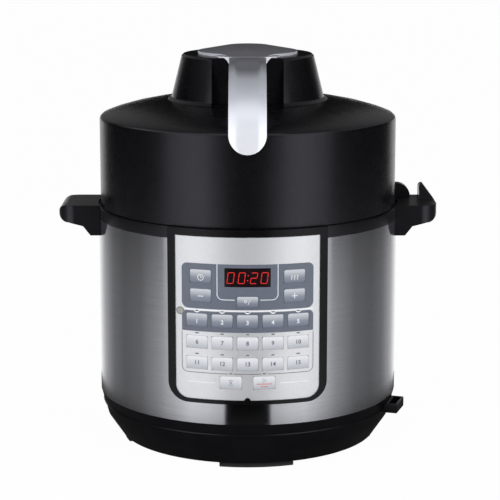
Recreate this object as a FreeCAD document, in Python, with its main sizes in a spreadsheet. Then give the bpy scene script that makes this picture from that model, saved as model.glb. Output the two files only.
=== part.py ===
"""A round electric pressure cooker wearing its tall air-fry lid, as a parametric document.

Millimetres and degrees. The origin is on the floor under the middle of the pot, +Z is up and the
control panel faces -Y.
"""

import FreeCAD, Part

import math
import os
import re

import Sketcher

# Driving dimensions. Heights are above the floor, radii are from the pot's upright axis.
DIMENSIONS = {
    # Housing
    "body_radius": 145,
    "sheet_wall": 0.8,
    "shell_top": 219,
    "rim_z": 230,
    "tray_wall": 2.6,
    "tray_floor_radius": 125.3,
    "tray_ridge_radius": 138.6,
    "tray_ridge_z": 24.8,
    "tray_top": 48,
    "vent_inner": 62,
    "vent_outer": 96,
    "vent_width": 4,
    "foot_height": 5,
    "foot_inner": 112,
    "foot_outer": 123,
    "foot_sweep": 33,
    "foot_turn": 4,
    "post_radius": 5,
    "well_post_circle": 116,
    "plate_post_circle": 72,
    "screw_radius": 1.75,
    "screw_head_radius": 3.4,
    "screw_head_height": 1.8,
    "screw_depth": 14,
    # Pot, well, heater and sensor
    "well_radius": 118.2,
    "well_floor_z": 44,
    "pot_radius": 110,
    "pot_wall": 1.5,
    "pot_floor_z": 62,
    "pot_corner": 4,
    "pot_base_thick": 4,
    "pot_rim_radius": 123.5,
    "pot_rim_thick": 1.7,
    "seat_gap": 0.3,
    "plate_radius": 92,
    "plate_z": 50,
    "plate_gap": 0.4,
    "sensor_radius": 12.5,
    "sensor_bore": 14,
    "sensor_seat_z": 30,
    "sensor_base_z": 52,
    "spring_radius": 9,
    "spring_wall": 2,
    "guide_radius": 5.5,
    "guide_gap": 5,
    "power_board_z": 20,
    "power_board_half": 45,
    "power_board_front": 22,
    "power_board_back": 84,
    "relay_left": 12,
    "relay_right": 38,
    "relay_front": 30,
    "relay_back": 46,
    "relay_height": 16,
    "choke_left": -36,
    "choke_right": -12,
    "choke_front": 56,
    "choke_back": 78,
    "choke_height": 18,
    "overcut": 1,
    # Side handles
    "ear_reach": 182,
    "ear_half": 32.5,
    "ear_top": 232,
    "ear_underside": 212,
    "ear_leg_z": 203,
    "ear_leg_reach": 151,
    "ear_leg_slope": 7,
    "ear_toe": 10,
    "ear_toe_rise": 3.5,
    "ear_toe_curve": 9.5,
    "ear_side_z": 223,
    "ear_corner": 16,
    "ear_edge": 8,
    "ear_slot_in": 160,
    "ear_slot_out": 168,
    "fin_top": 245,
    "fin_thick": 10,
    "prong_round": 4,
    "prong_top": 12,
    "grip_in": 153,
    "grip_out": 174,
    "grip_half": 26,
    "grip_roof": 225,
    # Accessory bracket on the tray
    "bracket_azimuth": -18,
    "bracket_half": 14.5,
    "bracket_reach": 155.5,
    "bracket_bottom": 34,
    "bracket_top": 43.5,
    "bracket_wall": 2,
    "bracket_back": 146.5,
    # Control panel
    "panel_reach": 156,
    "bezel_half": 72.8,
    "bezel_bottom": 68.4,
    "bezel_top": 230,
    "bezel_corner": 18,
    "bezel_proud": 3.4,
    "fascia_half": 65.9,
    "fascia_bottom": 72,
    "fascia_top": 223.4,
    "fascia_corner": 12,
    "fascia_thick": 2.4,
    "fit_gap": 0.15,
    "stop_radius": 2.7,
    "window_half": 60,
    "window_bottom": 77,
    "window_top": 214,
    "display_half": 21,
    "display_bottom": 177.8,
    "display_top": 195.4,
    "module_front": 143.2,
    "key_half": 9.5,
    "key_half_height": 6,
    "key_pitch": 23,
    "key_corner": 0.9,
    "key_proud": 0.8,
    "key_gap": 0.3,
    "key_skirt": 1,
    "key_stem_half": 2,
    "wide_key_half": 10,
    "wide_key_x": 15.2,
    "adjust_key_x": 42.5,
    "unit_key_half_height": 4.8,
    "lamp_half": 2.5,
    "lamp_half_height": 0.6,
    "lamp_rise": 8.6,
    "lamp_proud": 0.4,
    "board_front": 126,
    "board_thick": 1.6,
    "board_half": 57,
    "board_bottom": 80,
    "board_top": 206,
    "boss_half": 2.5,
    "boss_inset": 4,
    "switch_half": 3,
    "switch_height": 3.5,
    "switch_gap": 0.7,
    # Heights of the middles of the panel's rows of keys
    "adjust_row_z": 187,
    "step_row_z": 169.2,
    "unit_row_z": 164.3,
    "dark_row_z": 146.3,
    "light_row_z": 125.6,
    "lower_row_z": 106.2,
    "start_row_z": 88.8,
    # Lid
    "lid_radius": 142.6,
    "lid_wall": 2.6,
    "lid_base": 230.4,
    "lid_wall_top": 313,
    "shoulder_low_radius": 142,
    "shoulder_low_z": 315.2,
    "shoulder_radius": 139.7,
    "shoulder_z": 317.4,
    "dome_rim_radius": 131,
    "dome_rim_z": 320.8,
    "dome_radius": 114,
    "dome_z": 325.7,
    "dome_top_radius": 95,
    "dome_top_z": 329.6,
    "lid_roof_z": 314.5,
    "hub_seat_radius": 77,
    "hub_seat_z": 331.5,
    "hub_foot_radius": 73.2,
    "hub_foot_z": 334,
    "hub_brow_radius": 63.4,
    "hub_brow_z": 373.2,
    "hub_top_radius": 61.4,
    "hub_top_z": 375,
    "notch_half": 33.5,
    "notch_back": 53,
    "guard_z": 233,
    "guard_thick": 2,
    "guard_slot": 7,
    "guard_hub": 26,
    "guard_step": 32,
    "guard_rim": 100,
    "coil_z": 249,
    "coil_wire": 3,
    "coil_radius": 90,
    "coil_pitch": 16,
    "clip_circle": 99,
    "clip_reach": 28,
    "clip_half": 4,
    "clip_thick": 2,
    "fan_z": 262,
    "fan_height": 13,
    "fan_radius": 58,
    "fan_plate": 1.5,
    "blade_inner": 24,
    "blade_thick": 1.2,
    "fan_boss": 10,
    "shaft_radius": 4,
    "shaft_gap": 0.05,
    "shaft_top": 308,
    "motor_radius": 29,
    "motor_z": 284,
    # Lid handle
    "crown_z": 382.6,
    "crown_radius": 20,
    "wing_radius": 47.7,
    "wing_edge_z": 377.6,
    "tongue_half": 17.1,
    "tongue_flat": 8,
    "tongue_crown": 3.5,
    "tongue_thick": 6.5,
    "tongue_edge": 1,
    "tongue_top_z": 376.5,
    "tongue_start": 62,
    "tongue_reach": 152,
    "tongue_tip_z": 298.5,
    "tongue_bend": 70,
    "neck_half": 27,
    "neck_root": 38,
    "neck_side": 52,
    "neck_front": 60.5,
    "neck_curve": 14,
    "neck_arch": 34.7,
    # Rear connectors
    "rear_reach": 152,
    "socket_half": 17,
    "socket_bottom": 206,
    "socket_front": 129,
    "plug_half": 15,
    "plug_top": 258,
    "plug_front": 136,
    "blade_half": 3,
    "blade_half_thick": 0.8,
    "blade_gap": 0.4,
    "blade_pitch": 9,
    "blade_y": 146,
    "blade_depth": 14,
    "slot_spare": 2,
    "inlet_z": 78,
    "inlet_half": 14,
    "inlet_half_height": 10.5,
    "inlet_wall": 2,
    "inlet_depth": 18,
    "inlet_flange": 3,
    "inlet_proud": 2,
    "contact_pitch": 7,
    "contact_half": 1,
    "contact_half_height": 2,
    "contact_inset": 5,
    "contact_rise": 2,
}

# Each key's row on the panel and the place of its middle.
KEYS = {
    "key_time": ("adjust", "-adjust_key_x"),
    "key_warm": ("adjust", "adjust_key_x"),
    "key_minus": ("step", "-adjust_key_x"),
    "key_plus": ("step", "adjust_key_x"),
    "key_unit": ("unit", "0"),
    "key_delay": ("start", "-wide_key_x"),
    "key_start": ("start", "wide_key_x"),
}
LAMP_ROWS = ("dark", "light", "lower", "start")
COIL_SIDES = 16
GUARD_SLOTS = 16
# Rounds inside the cooker are bars with this many sides.
HIDDEN_SIDES = 48
FAN_SIDES = 36
for row in ("dark", "light", "lower"):
    for column in range(-2, 3):
        KEYS[f"key_{row}_{column + 3}"] = (row, f"{column} * key_pitch")

doc = FreeCAD.newDocument("pressure_cooker")
dims = doc.addObject("Spreadsheet::Sheet", "dims")
for line, (alias, size) in enumerate(DIMENSIONS.items(), 1):
    dims.set(f"A{line}", alias)
    dims.set(f"B{line}", str(size))
    dims.setAlias(f"B{line}", alias)
doc.recompute()

CELL_NAME = re.compile(r"\b(" + "|".join(DIMENSIONS) + r")\b")
UP = FreeCAD.Vector(0, 0, 1)
sub_parts = []


def linked(formula):
    """The formula with each cell's name written as a reference to the sheet."""
    return CELL_NAME.sub(r"dims.\1", formula)


def size_of(formula):
    """What the formula comes to with the sheet's sizes."""
    return float(dims.evalExpression(linked(formula)))


def bind(item, prop, formula):
    """Ties a property of a document object to the sheet."""
    item.setExpression(prop, linked(formula))


def arc_between(start, stop, radius):
    """The arc, at most half a circle, from start to stop. One that turns right is drawn backwards."""
    chord = stop - start
    left = FreeCAD.Vector(-chord.y, chord.x, 0).normalize()
    rise = math.sqrt(max(radius**2 - (chord.Length / 2) ** 2, 0))
    centre = (start + stop) * 0.5 + left * math.copysign(rise, radius)
    first, last = (start, stop) if radius > 0 else (stop, start)
    turns = [math.atan2(point.y - centre.y, point.x - centre.x) for point in (first, last)]
    return Part.ArcOfCircle(Part.Circle(centre, UP, abs(radius)), *turns)


def draw(body, plane, points, shift="0", closed=True):
    """A sketch on one of the body's base planes, moved along the plane's normal by shift.

    A point is (across, up), or (across, up, radius) where the side that leaves it is an arc. An arc of
    positive radius turns left on its way, one of negative radius turns right.
    """
    sketch = body.newObject("Sketcher::SketchObject", f"{body.Name}_outline")
    support = next(item for item in body.Origin.OriginFeatures if item.Role == plane)
    sketch.AttachmentSupport = [(support, "")]
    sketch.MapMode = "FlatFace"
    bind(sketch, "AttachmentOffset.Base.z", shift)
    corners = [FreeCAD.Vector(size_of(point[0]), size_of(point[1]), 0) for point in points]
    count = len(points) if closed else len(points) - 1
    ends = []
    for number in range(count):
        start, stop = corners[number], corners[(number + 1) % len(points)]
        radius = size_of(points[number][2]) if len(points[number]) == 3 else 0
        sketch.addGeometry(arc_between(start, stop, radius) if radius else Part.LineSegment(start, stop), False)
        ends.append((2, 1) if radius < 0 else (1, 2))
    joints = []
    for number in range(count if closed else count - 1):
        after = (number + 1) % count
        joints.append(Sketcher.Constraint("Coincident", number, ends[number][1], after, ends[after][0]))
    sizes = []
    for number, point in enumerate(points):
        side, end = (number, ends[number][0]) if number < count else (number - 1, ends[-1][1])
        sizes.append((Sketcher.Constraint("DistanceX", side, end, corners[number].x), point[0]))
        sizes.append((Sketcher.Constraint("DistanceY", side, end, corners[number].y), point[1]))
        if len(point) == 3:
            radius = f"abs({point[2]})"
            sizes.append((Sketcher.Constraint("Radius", side, size_of(radius)), radius))
    sketch.addConstraint(joints + [constraint for constraint, _ in sizes])
    for number, (_, formula) in enumerate(sizes, len(joints)):
        if CELL_NAME.search(formula):
            bind(sketch, f"Constraints[{number}]", formula)
    return sketch


def turned(name, points):
    """A solid of revolution about Z, from its outline as (radius, height)."""
    body = doc.addObject("PartDesign::Body", name)
    sketch = draw(body, "XZ_Plane", points)
    turn = body.newObject("PartDesign::Revolution", f"{name}_turn")
    turn.Profile = sketch
    turn.ReferenceAxis = (sketch, ["V_Axis"])
    turn.Angle = 360
    return body


def padded(name, plane, points, start, length):
    """A prism on an outline. XY outlines rise along +Z, XZ ones grow along -Y and YZ ones along +X."""
    body = doc.addObject("PartDesign::Body", name)
    sketch = draw(body, plane, points, start)
    pad = body.newObject("PartDesign::Pad", f"{name}_pad")
    pad.Profile = sketch
    bind(pad, "Length", length)
    return body


def block(name, low, high):
    """A box between two corners, each given as formulas for x, y and z."""
    item = doc.addObject("Part::Box", name)
    for prop, axis, first, last in zip(("Length", "Width", "Height"), "xyz", low, high):
        bind(item, prop, f"({last}) - ({first})")
        bind(item, f"Placement.Base.{axis}", first)
    return item


def rod(name, radius, low, high):
    """An upright cylinder on the pot's axis, between two heights."""
    item = doc.addObject("Part::Cylinder", name)
    bind(item, "Radius", radius)
    bind(item, "Height", f"({high}) - ({low})")
    bind(item, "Placement.Base.z", low)
    return item


def post(name, radius, low, high, circle="0", angle=0, sides=6):
    """An upright bar of six or more sides, standing on a circle about the pot's axis."""
    item = doc.addObject("Part::Prism", name)
    item.Polygon = sides
    bind(item, "Circumradius", radius)
    bind(item, "Height", f"({high}) - ({low})")
    bind(item, "Placement.Base.x", f"{circle} * cos({angle})")
    bind(item, "Placement.Base.y", f"{circle} * sin({angle})")
    bind(item, "Placement.Base.z", low)
    return item


def spoke(name, inner, outer, half_width, low, high, angle):
    """A bar along a radius, at an angle in degrees from +X."""
    item = doc.addObject("Part::Box", name)
    bind(item, "Length", f"({outer}) - ({inner})")
    bind(item, "Width", f"2 * ({half_width})")
    bind(item, "Height", f"({high}) - ({low})")
    turn = FreeCAD.Rotation(UP, angle)
    corner = FreeCAD.Vector(size_of(inner), -size_of(half_width), size_of(low))
    item.Placement = FreeCAD.Placement(turn.multVec(corner), turn)
    return item


def spun(item, angle):
    """Turns a finished shape about the pot's axis."""
    item.Placement = FreeCAD.Placement(FreeCAD.Vector(), FreeCAD.Rotation(UP, angle))
    return item


def cut(name, base, tool):
    item = doc.addObject("Part::Cut", name)
    item.Base, item.Tool = base, tool
    return item


def shared(name, first, second):
    """What two shapes have in common."""
    item = doc.addObject("Part::Common", name)
    item.Base, item.Tool = first, second
    return item


def fused(name, shapes):
    item = doc.addObject("Part::MultiFuse", name)
    item.Shapes = shapes
    return item


def grouped(name, shapes):
    """Separate solids that belong together."""
    item = doc.addObject("Part::Compound", name)
    item.Links = shapes
    return item


def sub_part(item):
    """Makes a finished shape one of the cooker's pieces, under its own name."""
    item.Label = item.Name
    sub_parts.append(item)


def make_tray():
    """The base tray with its posts, vents and screws. Returns the tray's outer shape."""
    envelope = turned(
        "tray_envelope",
        [
            ("0", "foot_height"),
            ("tray_floor_radius", "foot_height"),
            ("tray_ridge_radius", "tray_ridge_z"),
            ("body_radius", "tray_top"),
            ("0", "tray_top"),
        ],
    )
    cavity = rod("tray_cavity", "tray_floor_radius - tray_wall", "foot_height + tray_wall", "tray_top")
    floor = "foot_height + tray_wall / 2"
    posts = [
        post("sensor_post", "spring_radius + spring_wall", floor, "sensor_seat_z", sides=8),
        post("spring_guide", "guide_radius", "sensor_seat_z", "sensor_base_z - guide_gap", sides=8),
    ]
    holes, screws = [], []
    head_low, head_top = "foot_height + seat_gap", "foot_height + screw_head_height"
    shank_top = "foot_height + screw_depth"
    for angle in range(45, 360, 90):
        place = ("well_post_circle", angle)
        posts.append(post(f"well_post_{angle}", "post_radius", floor, "well_floor_z", *place))
        holes.append(post(f"screw_hole_{angle}", "screw_radius", "foot_height", shank_top, *place))
        holes.append(post(f"screw_sink_{angle}", "screw_head_radius", "foot_height", head_top, *place, sides=8))
        head = post(f"screw_head_{angle}", "screw_head_radius", head_low, head_top, *place, sides=8)
        shank = post(f"screw_shank_{angle}", "screw_radius", head_low, shank_top, *place)
        screws.append(fused(f"base_screw_{angle}", [head, shank]))
    plate_posts = (30, 150, 270)
    for angle in plate_posts:
        posts.append(post(f"plate_post_{angle}", "post_radius", floor, "plate_z", "plate_post_circle", angle))
    for side in (-1, 1):
        x = f"{side} * (power_board_half - post_radius)"
        for name, y in (("front", "power_board_front"), ("back", "power_board_back - post_radius")):
            posts.append(
                block(
                    f"board_post_{name}_{side + 1}",
                    (f"{x} - post_radius / 2", y, floor),
                    (f"{x} + post_radius / 2", f"{y} + post_radius", "power_board_z"),
                )
            )
    low, high = "foot_height - overcut", "foot_height + tray_wall + overcut"
    vents = []
    for angle in range(0, 360, 30):
        if angle not in plate_posts:
            vents.append(spoke(f"vent_{angle}", "vent_inner", "vent_outer", "vent_width / 2", low, high, angle))
    dish = cut("tray_dish", envelope, cavity)
    drilled = cut("tray_drilled", fused("tray_with_posts", [dish] + posts), fused("tray_holes", holes))
    sub_part(cut("base_tray", drilled, grouped("tray_vents", vents)))
    sub_part(grouped("base_screws", screws))
    return envelope


def make_feet():
    feet = []
    for quarter in range(4):
        sectors = []
        for side in ("outer", "inner"):
            sector = rod(f"foot_{side}_{quarter}", f"foot_{side}", "0", "foot_height")
            bind(sector, "Angle", "foot_sweep")
            sectors.append(spun(sector, 90 * quarter + size_of("foot_turn - foot_sweep / 2")))
        feet.append(cut(f"foot_{quarter}", *sectors))
    sub_part(grouped("rubber_feet", feet))


def panel_outline(part, grow="0"):
    """A panel piece's outline from the front: square corners at the top, round ones below."""
    half, corner = f"({part}_half + {grow})", f"({part}_corner + {grow})"
    top, bottom = f"{part}_top + {grow}", f"{part}_bottom - ({grow})"
    return [
        (f"-{half}", top),
        (f"-{half}", f"{bottom} + {corner}", corner),
        (f"-{half} + {corner}", bottom),
        (f"{half} - {corner}", bottom, corner),
        (half, f"{bottom} + {corner}"),
        (half, top),
    ]


def front_prism(name, outline):
    """A prism through the front wall of the housing."""
    return padded(name, "XZ_Plane", outline, "board_front", "panel_reach - board_front")


def panel_block(name, rectangle, back, front):
    """A box through the panel, between two distances in front of the pot's axis."""
    left, right, low, high = rectangle
    return block(name, (left, f"-({front})", low), (right, f"-({back})", high))


def ring_band(name, inner, outer):
    """A slice of a tube about the pot's axis, which gives the panel's pieces their curve."""
    height = ("tray_top", "rim_z")
    return cut(name, rod(f"{name}_outside", outer, *height), rod(f"{name}_inside", inner, *height))


def socket_room(name):
    """The room that the lid's socket takes up in the rear of the housing."""
    return block(
        name,
        ("-socket_half - fit_gap", "socket_front - fit_gap", "socket_bottom - fit_gap"),
        ("socket_half + fit_gap", "panel_reach", "rim_z + overcut"),
    )


def make_housing():
    """The steel shell, the collar on top of it and the well inside."""
    tube = cut(
        "shell_tube",
        rod("shell_outside", "body_radius", "tray_top", "shell_top"),
        post("shell_inside", "body_radius - sheet_wall", "tray_top", "shell_top", sides=HIDDEN_SIDES),
    )
    window = ("-window_half", "window_half", "window_bottom", "window_top")
    inlet_hole = block(
        "shell_inlet_hole",
        ("-inlet_half", "body_radius - inlet_depth", "inlet_z - inlet_half_height"),
        ("inlet_half", "panel_reach", "inlet_z + inlet_half_height"),
    )
    front_hole = panel_block("shell_window", window, "board_front", "panel_reach")
    holes = [front_hole, inlet_hole, socket_room("shell_room")]
    sub_part(cut("body_shell", tube, grouped("shell_holes", holes)))

    well_outside = "well_radius + sheet_wall"
    ring = cut(
        "collar_ring",
        rod("collar_outside", "body_radius", "shell_top", "rim_z"),
        post("collar_inside", f"{well_outside} + fit_gap", "shell_top", "rim_z", sides=HIDDEN_SIDES),
    )
    sub_part(cut("upper_collar", ring, socket_room("collar_room")))
    sub_part(
        cut(
            "pot_well",
            post("well_outside", well_outside, "well_floor_z", "rim_z", sides=HIDDEN_SIDES),
            post("well_inside", "well_radius", "well_floor_z", "rim_z", sides=HIDDEN_SIDES),
        )
    )


def make_pot():
    outside, rim = "pot_radius + pot_wall", "rim_z + seat_gap"
    floor = "pot_floor_z + pot_base_thick"
    sub_part(
        turned(
            "inner_pot",
            [
                ("0", "pot_floor_z"),
                (f"{outside} - pot_corner", "pot_floor_z"),
                (outside, "pot_floor_z + pot_corner"),
                (outside, rim),
                ("pot_rim_radius", rim),
                ("pot_rim_radius", f"{rim} + pot_rim_thick"),
                ("pot_radius", f"{rim} + pot_rim_thick"),
                ("pot_radius", floor),
                ("0", floor),
            ],
        )
    )


def make_heater():
    plate_top = "pot_floor_z - plate_gap"
    plate = post("plate_disc", "plate_radius", "plate_z", plate_top, sides=HIDDEN_SIDES)
    sub_part(cut("heating_plate", plate, post("plate_bore", "sensor_bore", "plate_z", plate_top, sides=16)))
    sub_part(post("sensor_cap", "sensor_radius", "sensor_base_z", plate_top, sides=16))
    height = ("sensor_seat_z", "sensor_base_z")
    coil = post("spring_outside", "spring_radius", *height, sides=8)
    sub_part(cut("sensor_spring", coil, post("spring_inside", "spring_radius - spring_wall", *height, sides=8)))

    top = "power_board_z + board_thick"
    board = block(
        "power_board_plate",
        ("-power_board_half", "power_board_front", "power_board_z"),
        ("power_board_half", "power_board_back", top),
    )
    lumps = []
    for name in ("relay", "choke"):
        low = (f"{name}_left", f"{name}_front", top)
        high = (f"{name}_right", f"{name}_back", f"{top} + {name}_height")
        lumps.append(block(f"power_{name}", low, high))
    sub_part(fused("power_board", [board] + lumps))


def ear_plan():
    """A side handle's outline from above, on the +X side."""
    return [
        ("body_radius / 2", "-ear_half"),
        ("ear_reach - ear_corner", "-ear_half", "ear_corner"),
        ("ear_reach", "-ear_half + ear_corner"),
        ("ear_reach", "ear_half - ear_corner", "ear_corner"),
        ("ear_reach - ear_corner", "ear_half"),
        ("body_radius / 2", "ear_half"),
    ]


def ear(name, upper):
    """A side handle at +X before its last cut, and what is cut from it: the housing's round and the grip.

    The upper edge's points run from the outside to the inside.
    """
    lower = [
        ("body_radius - ear_edge", "ear_leg_z"),
        ("ear_leg_reach", "ear_leg_z"),
        ("ear_leg_reach + ear_leg_slope", "ear_underside"),
        ("ear_reach - ear_toe", "ear_underside + ear_toe_rise", "ear_toe_curve"),
        ("ear_reach", "ear_side_z"),
    ]
    profile = padded(f"{name}_profile", "XZ_Plane", lower + upper, "-ear_half", "2 * ear_half")
    plan = padded(f"{name}_plan", "XY_Plane", ear_plan(), "ear_leg_z - overcut", "fin_top - ear_leg_z")
    grip = block(
        f"{name}_grip",
        ("grip_in", "-grip_half", "ear_leg_z - overcut"),
        ("grip_out", "grip_half", "grip_roof"),
    )
    housing = rod(f"{name}_housing", "body_radius", "0", "fin_top + overcut")
    whole = shared(f"{name}_whole", profile, plan)
    return whole, fused(f"{name}_tools", [housing, grip])


def make_handles():
    round_top = [
        ("ear_reach", "ear_top - ear_edge", "ear_edge"),
        ("ear_reach - ear_edge", "ear_top"),
        ("body_radius - ear_edge", "ear_top"),
    ]
    sub_part(spun(cut("left_handle", *ear("left_ear", round_top)), 180))

    whole, tools = ear("right_ear", [("ear_reach", "ear_top"), ("body_radius - ear_edge", "ear_top")])
    root = "ear_top - fin_thick / 2"
    fin = padded(
        "slot_fin",
        "XZ_Plane",
        [
            ("body_radius - ear_edge", root),
            ("ear_slot_in", root),
            ("ear_slot_in", "ear_top", "fin_top - ear_top"),
            ("ear_slot_in - (fin_top - ear_top)", "fin_top"),
            ("body_radius - ear_edge", "fin_top"),
        ],
        "-ear_half",
        "fin_thick",
    )
    side = padded(
        "prong_side",
        "XZ_Plane",
        [
            ("ear_slot_out", root),
            ("ear_reach", root),
            ("ear_reach", "ear_top"),
            ("ear_slot_out + prong_round", "fin_top", "prong_round"),
            ("ear_slot_out", "fin_top - prong_round"),
        ],
        "-ear_half",
        "ear_half",
    )
    slope = padded(
        "prong_slope",
        "YZ_Plane",
        [("0", root), ("ear_half", root), ("ear_half", "fin_top"), ("ear_half - prong_top", "fin_top")],
        "body_radius",
        "ear_reach - body_radius + overcut",
    )
    plan = padded("prong_plan", "XY_Plane", ear_plan(), "ear_leg_z", "fin_top - ear_leg_z + overcut")
    prong = shared("prong", shared("prong_wedge", side, slope), plan)
    sub_part(cut("right_handle", fused("right_ear_with_slot", [whole, fin, prong]), tools))


def make_bracket(tray_envelope):
    """The open-topped pocket on the tray's right side. It is shaped at +X and then turned into place."""
    outer = block(
        "bracket_block",
        ("tray_ridge_radius", "-bracket_half", "bracket_bottom"),
        ("bracket_reach", "bracket_half", "bracket_top"),
    )
    pocket = block(
        "bracket_pocket",
        ("bracket_back", "-bracket_half + bracket_wall", "bracket_bottom + bracket_wall"),
        ("bracket_reach - bracket_wall", "bracket_half - bracket_wall", "bracket_top + overcut"),
    )
    seated = cut("accessory_bracket", cut("bracket_open", outer, pocket), tray_envelope)
    sub_part(spun(seated, size_of("bracket_azimuth")))


def key_size(row):
    """Half the width and half the height of a row's keys."""
    half = "wide_key_half" if row == "start" else "key_half"
    return half, "unit_key_half_height" if row == "unit" else "key_half_height"


def around(x, z, half, half_height, grow="0"):
    """Left, right, low and high formulas of a rectangle on the panel."""
    wide, tall = f"({half} + {grow})", f"({half_height} + {grow})"
    return f"{x} - {wide}", f"{x} + {wide}", f"{z} - {tall}", f"{z} + {tall}"


def make_panel():
    outside = "body_radius + fascia_thick"
    stop = [
        ("-stop_radius", "fascia_bottom - overcut"),
        ("stop_radius", "fascia_bottom - overcut"),
        ("stop_radius", "fascia_bottom", "stop_radius"),
        ("0", "fascia_bottom + stop_radius", "stop_radius"),
        ("-stop_radius", "fascia_bottom"),
    ]
    bezel_band = ring_band("bezel_band", "body_radius", "body_radius + bezel_proud")
    bezel_prism = front_prism("bezel_prism", panel_outline("bezel"))
    hole = front_prism("bezel_hole", panel_outline("fascia"))
    opening = cut("bezel_opening", hole, front_prism("bezel_stop", stop))
    sub_part(cut("panel_bezel", shared("bezel_plate", bezel_band, bezel_prism), opening))

    holes = [front_prism("fascia_stop", stop)]
    for name, (row, x) in KEYS.items():
        rectangle = around(x, f"{row}_row_z", *key_size(row), "key_gap")
        holes.append(panel_block(f"window_{name}", rectangle, "board_front", "panel_reach"))
    glass = ("-display_half", "display_half", "display_bottom", "display_top")
    holes.append(panel_block("window_display", glass, "board_front", "panel_reach"))
    plate = shared(
        "fascia_plate",
        ring_band("fascia_band", "body_radius", outside),
        front_prism("fascia_prism", panel_outline("fascia", "-fit_gap")),
    )
    bosses = []
    for side in (-1, 1):
        x = f"{side} * (board_half - boss_inset)"
        for name, z in (("low", "board_bottom + boss_inset"), ("high", "board_top - boss_inset")):
            front = "sqrt(body_radius ^ 2 - board_half ^ 2) + fascia_thick"
            square = around(x, z, "boss_half", "boss_half")
            bosses.append(panel_block(f"boss_{name}_{side + 1}", square, "board_front", front))
    solid = fused("fascia_solid", [plate] + bosses)
    sub_part(cut("panel_fascia", solid, grouped("fascia_holes", holes)))

    lamps = []
    for name, (row, x) in KEYS.items():
        if row in LAMP_ROWS:
            middle = f"{row}_row_z + lamp_rise"
            height = (f"{middle} - lamp_half_height", f"{middle} + lamp_half_height")
            azimuth = math.degrees(math.asin(size_of(f"{x} / ({outside})"))) - 90
            top = f"{outside} + lamp_proud"
            lamps.append(spoke(f"lamp_{name}", outside, top, "lamp_half", *height, azimuth))
    sub_part(grouped("indicator_lenses", lamps))
    pane = panel_block("display_pane", glass, "board_front", "panel_reach")
    sub_part(shared("display_window", pane, ring_band("pane_band", "body_radius", outside)))
    sub_part(panel_block("display_module", glass, "board_front", "module_front"))


def make_keys():
    front = "body_radius + fascia_thick + key_proud"
    corner = size_of("key_corner")
    switches = []
    for name, (row, x) in KEYS.items():
        middle = f"{row}_row_z"
        half, half_height = key_size(row)
        left, right, low, high = around(x, middle, half, half_height)
        # The key's back lies flat, behind the edge of its window that curves back most.
        back = f"-sqrt(body_radius ^ 2 - (abs({x}) + {half}) ^ 2) + key_skirt"
        plan = [
            (left, back),
            (left, f"-sqrt(({front}) ^ 2 - ({left}) ^ 2)"),
            (right, f"-sqrt(({front}) ^ 2 - ({right}) ^ 2)"),
            (right, back),
        ]
        blank = padded(f"{name}_blank", "XY_Plane", plan, low, f"2 * {half_height}")
        doc.recompute()
        cap = doc.addObject("Part::Chamfer", f"{name}_cap")
        cap.Base = blank
        leans = [abs(edge.tangentAt(edge.FirstParameter).y) for edge in blank.Shape.Edges]
        cap.Edges = [(number, corner, corner) for number, lean in enumerate(leans, 1) if lean > 0.99]
        square = around(x, middle, "key_stem_half", "key_stem_half")
        stem = panel_block(f"{name}_stem", square, "board_front + switch_height + switch_gap", f"-({back})")
        sub_part(fused(name, [cap, stem]))
        square = around(x, middle, "switch_half", "switch_half")
        switches.append(panel_block(f"switch_{name}", square, "board_front", "board_front + switch_height"))
    sub_part(grouped("tact_switches", switches))
    board = ("-board_half", "board_half", "board_bottom", "board_top")
    sub_part(panel_block("control_board", board, "board_front - board_thick", "board_front"))


def contact_blade(name, place, low, high, grow="0"):
    """One of the three flat blades between the lid's plug and its socket, or the slot for it."""
    return block(
        name,
        (f"{place} * blade_pitch - blade_half - {grow}", f"blade_y - blade_half_thick - {grow}", low),
        (f"{place} * blade_pitch + blade_half + {grow}", f"blade_y + blade_half_thick + {grow}", high),
    )


def make_rear_connectors():
    socket = block(
        "socket_housing",
        ("-socket_half", "socket_front", "socket_bottom"),
        ("socket_half", "rear_reach", "rim_z"),
    )
    slot_low = "lid_base - blade_depth - slot_spare"
    slots = [contact_blade(f"socket_slot_{n + 1}", n, slot_low, "lid_base", "blade_gap") for n in (-1, 0, 1)]
    sub_part(cut("lid_socket", socket, grouped("socket_slots", slots)))
    plug = block(
        "plug_housing",
        ("-plug_half", "plug_front", "lid_base"),
        ("plug_half", "rear_reach", "plug_top"),
    )
    low = "lid_base - blade_depth"
    blades = [contact_blade(f"plug_blade_{n + 1}", n, low, "lid_base + blade_half") for n in (-1, 0, 1)]
    sub_part(fused("lid_plug", [plug] + blades))

    mouth = "body_radius + inlet_proud"
    back = "body_radius - inlet_depth"
    body = block(
        "inlet_body",
        ("-inlet_half + fit_gap", back, "inlet_z - inlet_half_height + fit_gap"),
        ("inlet_half - fit_gap", mouth, "inlet_z + inlet_half_height - fit_gap"),
    )
    flange = block(
        "inlet_rim",
        ("-inlet_half - inlet_flange", "body_radius", "inlet_z - inlet_half_height - inlet_flange"),
        ("inlet_half + inlet_flange", mouth, "inlet_z + inlet_half_height + inlet_flange"),
    )
    recess = block(
        "inlet_recess",
        ("-inlet_half + inlet_wall", f"{back} + inlet_wall", "inlet_z - inlet_half_height + inlet_wall"),
        ("inlet_half - inlet_wall", "panel_reach", "inlet_z + inlet_half_height - inlet_wall"),
    )
    contacts = []
    for place in (-1, 0, 1):
        x = f"{place} * contact_pitch"
        z = "inlet_z - contact_rise" if place else "inlet_z + contact_rise"
        contacts.append(
            block(
                f"inlet_contact_{place + 1}",
                (f"{x} - contact_half", back, f"{z} - contact_half_height"),
                (f"{x} + contact_half", f"{mouth} - contact_inset", f"{z} + contact_half_height"),
            )
        )
    shell = cut("inlet_shell", fused("inlet_solid", [body, flange]), recess)
    sub_part(fused("mains_inlet", [shell] + contacts))


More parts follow.
